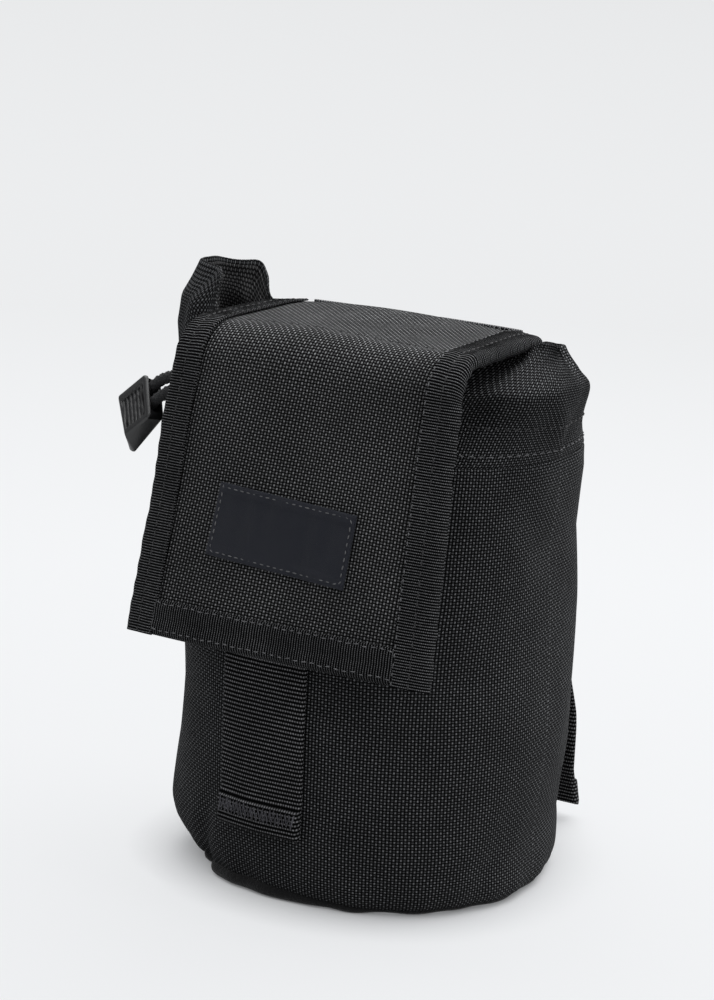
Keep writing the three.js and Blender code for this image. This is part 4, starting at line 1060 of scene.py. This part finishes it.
def makeTab():
    section = tabSection()
    v, w = section[None, :, 0], section[None, :, 1]
    t = np.concatenate([[0, 0.006, 0.02, 0.045], np.linspace(0.07, 0.93, 76), [0.955, 0.98, 0.994, 1]])[:, None]
    down, behind = (v + 1) / 2, (1 - w) / 2
    low = mix(mix(*tab["faceLow"], t), mix(*tab["backLow"], t), behind)
    length = mix(mix(*tab["faceLength"], down), mix(*tab["backLength"], down), behind)
    ends = roundedEnds(t, tab["squeeze"], 0.02)
    y, middle = mix(tab["top"], low, down), mix(tab["top"], low, 0.5)
    y = middle + (y - middle) * (0.82 + 0.18 * ends)
    x = tab["start"] + t * length
    rib = smooth((np.cos(2 * math.pi * (x - tab["ribFrom"]) / tab["ribPitch"]) - 0.1) / 0.6)
    inside = smooth((t - tab["field"][0]) / 0.018) * smooth((tab["field"][1] - t) / 0.018)
    inside = inside * (np.abs(v - tab["fieldMiddle"]) < tab["fieldHalf"])
    sunk = tab["recess"] * inside * (1 - 0.7 * rib)
    z = w * tab["half"] * (0.6 + 0.4 * ends) - sunk * (w > 0.99) + sunk * (w < -0.99)
    around, rows = len(section), range(len(t) - 1)
    faces = [(i * around + j, (i + 1) * around + j, (i + 1) * around + (j + 1) % around, i * around + (j + 1) % around)
             for i in rows for j in range(around)]
    last = len(rows) * around
    faces += [tuple(range(around)), tuple(range(last, last + around))[::-1]]
    whole = tabObject("tabWhole", together(x, y, z), faces)
    hollow = [(tab["pinAt"] + tab["slotRadius"] * math.cos(a), tab["slotRadius"] * math.sin(a))
              for a in np.radians(np.linspace(-70, 70, 21))]
    swing, pull = math.radians(tab["swing"]), tab["pull"]
    reach = [(x - pull * math.cos(swing), y + side * pull * math.sin(swing))
             for (x, y), side in ((hollow[-1], 1), (hollow[0], -1))]
    slot = prism("tabSlot", hollow + reach, tab["slotHalf"])
    cut = whole.modifiers.new("slot", "BOOLEAN")
    cut.operation, cut.solver, cut.object = "DIFFERENCE", "EXACT", slot
    mesh = bpy.data.meshes.new_from_object(whole.evaluated_get(bpy.context.evaluated_depsgraph_get()))
    whole.modifiers.clear()
    ring = [(tab["pinAt"] + tab["pinRadius"] * math.cos(a), tab["pinRadius"] * math.sin(a)) for a in circle(20)]
    pin = prism("tabPin", ring, tab["slotHalf"] + 0.3)
    work = bmesh.new()
    work.from_mesh(mesh)
    work.from_mesh(pin.data)
    work.to_mesh(mesh)
    work.free()
    for helper in (whole, slot, pin):
        bpy.data.objects.remove(helper)
    piece = finishPiece("pullTab", mesh, "moulded")
    mesh.set_sharp_from_angle(angle=math.radians(38))
    settle(piece, "moulded_plastic", "pull_tab", bodies=("pull_tab",))


makeTab()
print("moulded parts made")


# Stitches, tacks and hooks: lines on the cloth, dressed by node trees

def newTree(name, kinds):
    tree = bpy.data.node_groups.new(name, "GeometryNodeTree")
    make = Maker(tree)
    for title, kind in {"Lines": "Geometry", **kinds, "Thread": "Material"}.items():
        tree.interface.new_socket(title, in_out="INPUT", socket_type=f"NodeSocket{kind}")
    tree.interface.new_socket("Threads", in_out="OUTPUT", socket_type="NodeSocketGeometry")
    given = tree.nodes.new("NodeGroupInput")
    return make, {socket.name: Wire(make, socket) for socket in given.outputs if socket.name}


def closeTree(make, value, laid):
    real = make.node("GeometryNodeRealizeInstances", {}, {0: laid})
    dressed = make.node("GeometryNodeSetMaterial", {}, {"Geometry": real, "Material": value["Thread"]})
    make.tree.links.new(dressed.socket, make.tree.nodes.new("NodeGroupOutput").inputs[0])
    return make.tree


def upright(make, seed, spread, settings, inputs):
    # turned away from the cloth, and shaken a little
    up = make.node("GeometryNodeInputNamedAttribute", {"data_type": "FLOAT_VECTOR"}, {"Name": "up"})
    turned = make.node("FunctionNodeAlignRotationToVector", {"axis": "Z", **settings}, {"Vector": up, **inputs})
    limits = {"Min": tuple(-part for part in spread), "Max": spread, "Seed": seed}
    shake = make.node("FunctionNodeRandomValue", {"data_type": "FLOAT_VECTOR"}, limits)
    tilt = make.node("FunctionNodeEulerToRotation", {}, {0: shake})
    return make.node("FunctionNodeRotateRotation", {"rotation_space": "LOCAL"}, {0: turned, 1: tilt})


def tubed(make, value, curve, resolution):
    ring = {"Resolution": resolution, "Radius": value["Thickness"] / 2}
    profile = make.node("GeometryNodeCurvePrimitiveCircle", {"mode": "RADIUS"}, ring)
    return make.node("GeometryNodeCurveToMesh", {}, {"Curve": curve, "Profile Curve": profile, "Fill Caps": True})


def stitchTree():
    make, value = newTree("runningStitches", {"Length": "Float", "Gap": "Float", "Thickness": "Float",
                                              "Unevenness": "Float", "Seed": "Int"})
    curve = make.node("GeometryNodeMeshToCurve", {}, {"Mesh": value["Lines"]})
    pitch = {"Curve": curve, "Length": value["Length"] + value["Gap"]}
    even = make.node("GeometryNodeResampleCurve", {"mode": "LENGTH"}, pitch)
    tangent = make.node("GeometryNodeInputTangent", {}, {})
    along = make.node("FunctionNodeAlignRotationToVector", {"axis": "X"}, {"Vector": tangent})
    turned = upright(make, value["Seed"], (0.04, 0.1, 0.16), {"pivot_axis": "X"}, {"Rotation": along})
    limits = {2: value["Unevenness"] * -1, 3: value["Unevenness"], "Seed": value["Seed"] + 3}
    jitter = make.node("FunctionNodeRandomValue", {"data_type": "FLOAT"}, limits, output=1)
    capsule = make.node("GeometryNodeMeshUVSphere", {}, {"Segments": 6, "Rings": 5, "Radius": 0.5})
    size = make.joined(value["Thickness"], value["Thickness"], value["Length"])
    shaped = make.node("GeometryNodeTransform", {}, {"Geometry": capsule, "Scale": size})
    laid = make.node("GeometryNodeTransform", {}, {"Geometry": shaped, "Rotation": (0, math.pi / 2, 0)})
    placed = {"Points": even, "Instance": laid, "Rotation": turned, "Scale": jitter + 1}
    return closeTree(make, value, make.node("GeometryNodeInstanceOnPoints", {}, placed))


def zigzagTree():
    make, value = newTree("laidThread", {"Thickness": "Float"})
    curve = make.node("GeometryNodeMeshToCurve", {}, {"Mesh": value["Lines"]})
    return closeTree(make, value, tubed(make, value, curve, 5))


def hookTree():
    make, value = newTree("hookField", {"Height": "Float", "Thickness": "Float", "Seed": "Int"})
    points = make.node("GeometryNodeMeshToPoints", {}, {"Mesh": value["Lines"]})
    turned = upright(make, value["Seed"], (0.12, 0.12, 0.3), {}, {})
    tall = value["Height"]
    bend = {"Resolution": 6, "Start": (0, 0, 0), "Middle": make.joined(0.0, 0.0, tall * 2),
            "End": make.joined(tall * 0.75, 0.0, tall * 0.35)}
    hook = tubed(make, value, make.node("GeometryNodeCurveQuadraticBezier", {}, bend), 4)
    placed = {"Points": points, "Instance": hook, "Rotation": turned}
    return closeTree(make, value, make.node("GeometryNodeInstanceOnPoints", {}, placed))


trees = {"stitches": stitchTree(), "zigzag": zigzagTree(), "hooks": hookTree()}


def dress(name, kind, places, finish, slot, bodies, **sizes):
    # places: a function of the lift above the surface that gives a line's points, and the lift
    points, ups, edges = [], [], []
    for place, lift in places:
        start = sum(map(len, points))
        points.append(place(lift))
        ups.append(unit(place(lift + 0.2) - points[-1]))
        edges += [(k, k + 1) for k in range(start, start + len(points[-1]) - 1)]
    mesh = newMesh(f"{name}Lines", np.vstack(points), [], edges)
    upwards = mesh.attributes.new("up", "FLOAT_VECTOR", "POINT")
    upwards.data.foreach_set("vector", np.vstack(ups).astype(np.float32).ravel())
    carrier = addObject(f"{name}Lines", mesh)
    modifier = carrier.modifiers.new("dress", "NODES")
    modifier.node_group = trees[kind]
    sizes["Thread"] = finishes[finish]
    for socket in trees[kind].interface.items_tree:
        if socket.in_out == "INPUT" and socket.name in sizes:
            modifier[socket.identifier] = sizes[socket.name]
    laid = bpy.data.meshes.new_from_object(carrier.evaluated_get(bpy.context.evaluated_depsgraph_get()))
    carrier.modifiers.clear()
    bpy.data.objects.remove(carrier)
    settle(finishPiece(name, laid, finish), slot, **bodies)


stitches = {  # each kind's stitch, the gap after it and its thread, in millimetres
    "plain": (1.5, 1.0, 0.42), "seam": (1.5, 1.0, 0.34), "edge": (1.0, 1.3, 0.34), "hem": (1.3, 1.0, 0.34),
    "label": (1.1, 0.8, 0.34),
}


def sewn(name, places, finish, slot, seed, kind="plain", **bodies):
    length, gap, thick = (size * mm for size in stitches[kind])
    dress(name, "stitches", places, finish, slot, bodies, Length=length, Gap=gap, Thickness=thick, Unevenness=0.12,
          Seed=seed)


def collarLine(share, lift):
    around = np.radians(np.linspace(0, 360, 320))
    return onCollar(around, share + 0.006 * ripples(around, 0, 72, 5, 8, 20, 0), lift)


def flapLine(xs, ss, n, wave=0.0):
    xs, ss = np.broadcast_arrays(np.asarray(xs, float), ss)
    return flapPoint(xs, n, ss + wave * np.sin(xs * 1.7 + np.sin(xs * 0.6)))


def onTape(inset):  # the tape's face stands up between its stitch lines
    at, width = flap["stitchAt"], flap["tapeWidth"]
    share = inset / at if inset < at else (inset - at) / (width - at)
    return flap["ridge"] * math.sin(math.pi * share) + 0.5 * flap["ribDepth"]


def labelBorder(lift):
    inset = 1.15
    reach, low = label["width"] / 2 - inset, label["height"] - inset
    corners = [(-reach, inset), (reach, inset), (reach, low), (-reach, low), (-reach, inset)]
    path = [np.linspace(a, b, 40, endpoint=False) for a, b in zip(corners, corners[1:])]
    x, along = np.vstack(path + [corners[:1]]).T
    return labelPoint(x, along, label["thickness"] + lift)


def sewFlap():
    width = flap["tapeWidth"]
    down = np.linspace(0.6, flapEnd - 0.8, 260)
    for word, side in sides.items():
        at, edge = side * (flap["halfWidth"] - flap["stitchAt"]), side * (flap["halfWidth"] - width + 0.5)
        places = [(lambda lift: flapLine(at, down, tapeHigh + lift), 0.08),
                  (lambda lift: flapLine(at, down, tapeLow - lift), 0.08)]
        sewn(f"tapeStitches_{word}", places, "darkThread", "binding_tape", 3, **wholeFlap)
        places = [(lambda lift: flapLine(edge, down, tapeHigh + lift), onTape(width - 0.5))]
        sewn(f"tapeEdgeStitches_{word}", places, "darkThread" if side < 0 else "greyThread", "binding_tape", 4,
             "edge", **wholeFlap)
    xs = np.linspace(-34.2, 34.2, 120)
    places = [(lambda lift, inset=inset: flapLine(xs, flapEnd - inset, tapeHigh + lift, 0.18), onTape(inset))
              for inset in (width - 0.8, 1.7)]
    sewn("hemTapeStitches", places, "greyThread", "binding_tape", 5, "hem", **flapFront)
    sewn("labelStitches", [(labelBorder, 0.16)], "greyThread", "label_weave", 6, "label", **flapFront)
    xs = np.linspace(-34.5, 34.5, 120)
    places = [(lambda lift: flapLine(xs, topLength - 2.5, flap["thickness"] + lift, 0.1), 0.02)]
    sewn("bendStitches", places, "darkThread", "woven_nylon", 7, bodies=("flap_top",))


sewn("seamStitches", [(lambda lift: collarLine(0.1, lift), 0.12)], "greyThread", "woven_nylon", 1, "seam")
sewn("hemStitches", [(lambda lift: collarLine(0.37, lift), 0.12)], "darkThread", "woven_nylon", 2)
sewFlap()


tacks = {  # how far each kind reaches and swings, its pitch and its seed
    "bar": (11.8, 1.9, 1.15, 80), "strapTop": (11.5, 0.8, 1.5, 84), "strapEnd": (11.2, 1.3, 1.3, 85),
    "row": (11.2, 0.9, 1.1, 86),
}


def zigzag(kind, middle, number=0):
    # (along, across) turning points of a dense tack
    reach, swing, pitch, seed = tacks[kind]
    draw = np.random.default_rng(seed + number)
    along = np.arange(-reach, reach, pitch / 2)
    side = np.where(np.arange(len(along)) % 2, 1, -1)
    uneven = draw.normal(0, pitch * 0.12, len(along))
    return along + uneven, middle + side * swing * draw.uniform(0.72, 1.06, len(along))


def tacked(name, places, finish, slot="webbing", thickness=0.36, **bodies):
    dress(name, "zigzag", places, finish, slot, bodies, Thickness=thickness * mm)


eyelet = {"x": -12.2, "rise": 0.63, "outer": 2.9, "inner": 1.95, "stretch": 1.15, "count": 97, "bend": 34}


def exitRing(lift):
    # an overcast eyelet where the cord leaves the hem
    around = np.linspace(0, 2 * math.pi, eyelet["count"])
    reach = np.where(np.arange(eyelet["count"]) % 2, eyelet["outer"], eyelet["inner"])
    x = eyelet["x"] + reach * eyelet["stretch"] * np.cos(around)
    rise = eyelet["rise"] + reach * np.sin(around) / collarTall
    return onCollar(1.5 * math.pi + x / eyelet["bend"], rise, lift)


def tackWebbing():
    thick, places = strap["thickness"], []
    for layer in range(3):
        xs, zs = zigzag("bar", strap["barAt"], layer)
        places.append((lambda lift, xs=xs, zs=zs: frontPoint(xs, thick, zs, lift), 0.08 + 0.06 * layer))
    tacked("barTack", places, "tackThread", thickness=0.34)
    for word, side in sides.items():
        xs, zs = zigzag("strapTop", strap["topTackAt"])
        tacked(f"strapTopStitches_{word}", [(lambda lift: backPoint(side, xs, 0, zs, -lift), 0.1)], "greyThread")
        xs, zs = zigzag("strapEnd", strap["endTackAt"])
        tacked(f"strapEndStitches_{word}", [(lambda lift: backPoint(side, xs, thick, zs, lift), 0.3)], "greyThread",
               bodies=(f"strap_end_{word}",))
    for number, height in enumerate(strap["rowHeights"], 1):
        places = []
        for middle in strap["rowTacksAt"]:
            zs, xs = zigzag("row", middle, number)
            places.append((lambda lift, xs=xs, zs=zs: rowPoint(height, zs, thick, xs, lift), 0.14))
        tacked(f"rowTacks_{number}", places, "darkThread")


def dressPatches():
    reach, low = patch["halfWidth"] - 1.4, 0.06
    corners = np.array([(-reach, low), (reach, low), (reach, 1 - low), (-reach, 1 - low), (-reach, low)])
    x, share = np.vstack([np.linspace(a, b, 30, endpoint=False) for a, b in zip(corners, corners[1:])]).T
    z = mix(patch["low"], patch["high"], share)
    sewn("loopPatchStitches", [(lambda lift: loopPoint(x, patch["loopThickness"] + lift, z), 0.05)], "darkThread",
         "touch_fastener", 8)
    sewn("hookPatchStitches", [(lambda lift: hookPoint(x, -lift, hookLength * share), 0.1)], "darkThread",
         "touch_fastener", 9, **flapFront)
    downs = np.arange(1.8, hookLength - 1.7, patch["hookPitch"])
    places = [(lambda lift, across=across: hookPoint(across, -lift, downs), -0.05)
              for across in np.arange(-17.4, 17.5, patch["hookPitch"])]
    dress("hookField", "hooks", places, "hooks", "touch_fastener", flapFront, Height=patch["hookHeight"] * mm,
          Thickness=0.2 * mm, Seed=10)


tackWebbing()
tacked("exitStitches", [(exitRing, 0.12)], "darkThread", "woven_nylon", 0.5)
dressPatches()
print("stitches made")


# Metal parts that keep their measured mesh

for name in ("snap_socket", "snap_stud", "snap_post"):
    for word in sides:
        for place in bpy.data.objects[f"{name}_{word}"].material_slots:
            place.material = finishes["oxide"]


spring = {"axis": (0, 0.33349, 0.94275), "travel": 2.5}


def makeSpring():  # the measured coil
    mesh = bpy.data.objects["cord_lock_spring"].data.copy()
    piece = finishPiece("lockSpring", mesh, "steel")
    settle(piece, "spring_steel", "cord_lock_spring")
    up = Vector(spring["axis"])
    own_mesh(piece)


makeSpring()


# Table, light and camera

stage = {
    "floorSeen": (0.89, 0.9, 0.91, 1), "floorGives": (0.28, 0.28, 0.28, 1), "floorReach": 6.0, "contactShadeReach": 0.017,
    "tableLit": (0.905, 0.917, 0.932, 1), "backdropLit": (0.84, 0.849, 0.86, 1), "farLit": (0.8, 0.808, 0.817, 1),
    "skySeen": (0.8, 0.808, 0.82, 1), "skyShaded": (0.14, 0.142, 0.15, 1), "skyGives": (0.3, 0.302, 0.31, 1),
    "fadeFrom": 0.3, "fadeLength": 0.5, "farFrom": 1.2, "farLength": 2.2, "shadowShare": 0.18,
}
lamps = {  # power, size, place and aim
    "overhead": (11, 1.2, (0, 0.5, 0.95), (0, 0, 0.08)),
    "fill": (1.5, 0.8, (1.2, -0.3, 0.5), (0, 0, 0.08)),
    "edge": (0.9, 0.6, (-1.1, 0, 0.7), (0, 0, 0.1)),
}
view = {
    "azimuth": 29.67, "elevation": 14.07, "roll": 2.56, "target": (-8.58, 0, 97.06), "distance": 800,
    "lens": 108.01, "sensor": 36,
}


def makeFloor():
    reach = stage["floorReach"] / mm
    corners = [(-reach, -reach, 0), (reach, -reach, 0), (reach, reach, 0), (-reach, reach, 0)]
    mesh = newMesh("tableTop", corners, [(0, 1, 2, 3)])
    make = newMaterial("paleTable", Roughness=0.85, Specular_IOR_Level=0.1)
    seen, _ = make.seen()
    base = make.mixed(stage["floorGives"], stage["floorSeen"], seen)
    distance = make.node("ShaderNodeVectorMath", {"operation": "LENGTH"}, {0: make.here()}, output="Value")
    away = ((distance - stage["fadeFrom"]) / stage["fadeLength"]).held()  # the table runs into the backdrop
    # painted contact shade: ambient occlusion near the bag's foot turns the table's glow down, so that there the lit
    # table, with its real shadow, shows through
    corner = make.node("ShaderNodeAmbientOcclusion", {"samples": 8}, {"Distance": stage["contactShadeReach"]}, output="AO")
    far = (away * stage["shadowShare"] + (1 - stage["shadowShare"]) * corner) * seen
    lit = make.mixed(stage["tableLit"], stage["backdropLit"], away)
    lit = make.mixed(lit, stage["farLit"], ((distance - stage["farFrom"]) / stage["farLength"]).held())
    glow = make.node("ShaderNodeEmission", {}, {"Color": lit, "Strength": 1})
    both = make.node("ShaderNodeMixShader", {}, {0: far, 1: Wire(make, make.shader.outputs[0]), 2: glow})
    make.tree.links.new(base.socket, make.shader.inputs["Base Color"])
    make.tree.links.new(both.socket, make.tree.nodes["Material Output"].inputs["Surface"])
    mesh.materials.append(make.material)
    addObject("tableTop", mesh)


def makeSky():
    world = bpy.data.worlds.new("paleRoom")
    bpy.context.scene.world = world
    world.use_nodes = True
    make = Maker(world.node_tree)
    seen, glossy = make.seen()
    toward = make.node("ShaderNodeTexCoord", {}, {}, output="Generated")
    left = make.node("ShaderNodeSeparateXYZ", {}, {0: toward}, output="X") * -1.5
    room = make.mixed(stage["skySeen"], stage["skyShaded"], (left.held() * glossy).held())
    shade = make.mixed(stage["skyGives"], room, seen)
    make.tree.links.new(shade.socket, make.tree.nodes["Background"].inputs["Color"])


def makeLamp(name, power, size, place, aim):
    lamp = bpy.data.lights.new(name, "AREA")
    lamp.energy, lamp.size = power, size
    holder = addObject(name, lamp)
    holder.location = place
    holder.rotation_euler = (Vector(aim) - Vector(place)).to_track_quat("-Z", "Y").to_euler()


def makeCamera():
    camera = addObject("photoCamera", bpy.data.cameras.new("photoCamera"))
    camera.data.lens, camera.data.sensor_width, camera.data.sensor_fit = view["lens"], view["sensor"], "AUTO"
    camera.data.clip_start = 0.01
    az, el, roll = (math.radians(view[name]) for name in ("azimuth", "elevation", "roll"))
    forward = Vector((-math.sin(az) * math.cos(el), math.cos(az) * math.cos(el), -math.sin(el)))
    right = Vector((math.cos(az), math.sin(az), 0))
    up = right.cross(forward)
    right, up = right * math.cos(roll) + up * math.sin(roll), up * math.cos(roll) - right * math.sin(roll)
    turned = Matrix((right, up, -forward)).transposed().to_4x4()
    turned.translation = Vector(view["target"]) * mm - forward * (view["distance"] * mm)
    camera.matrix_world = turned
    bpy.context.scene.camera = camera


makeFloor()
makeSky()
for name, plan in lamps.items():
    makeLamp(name, *plan)
makeCamera()
bpy.context.scene.view_settings.view_transform = "Standard"
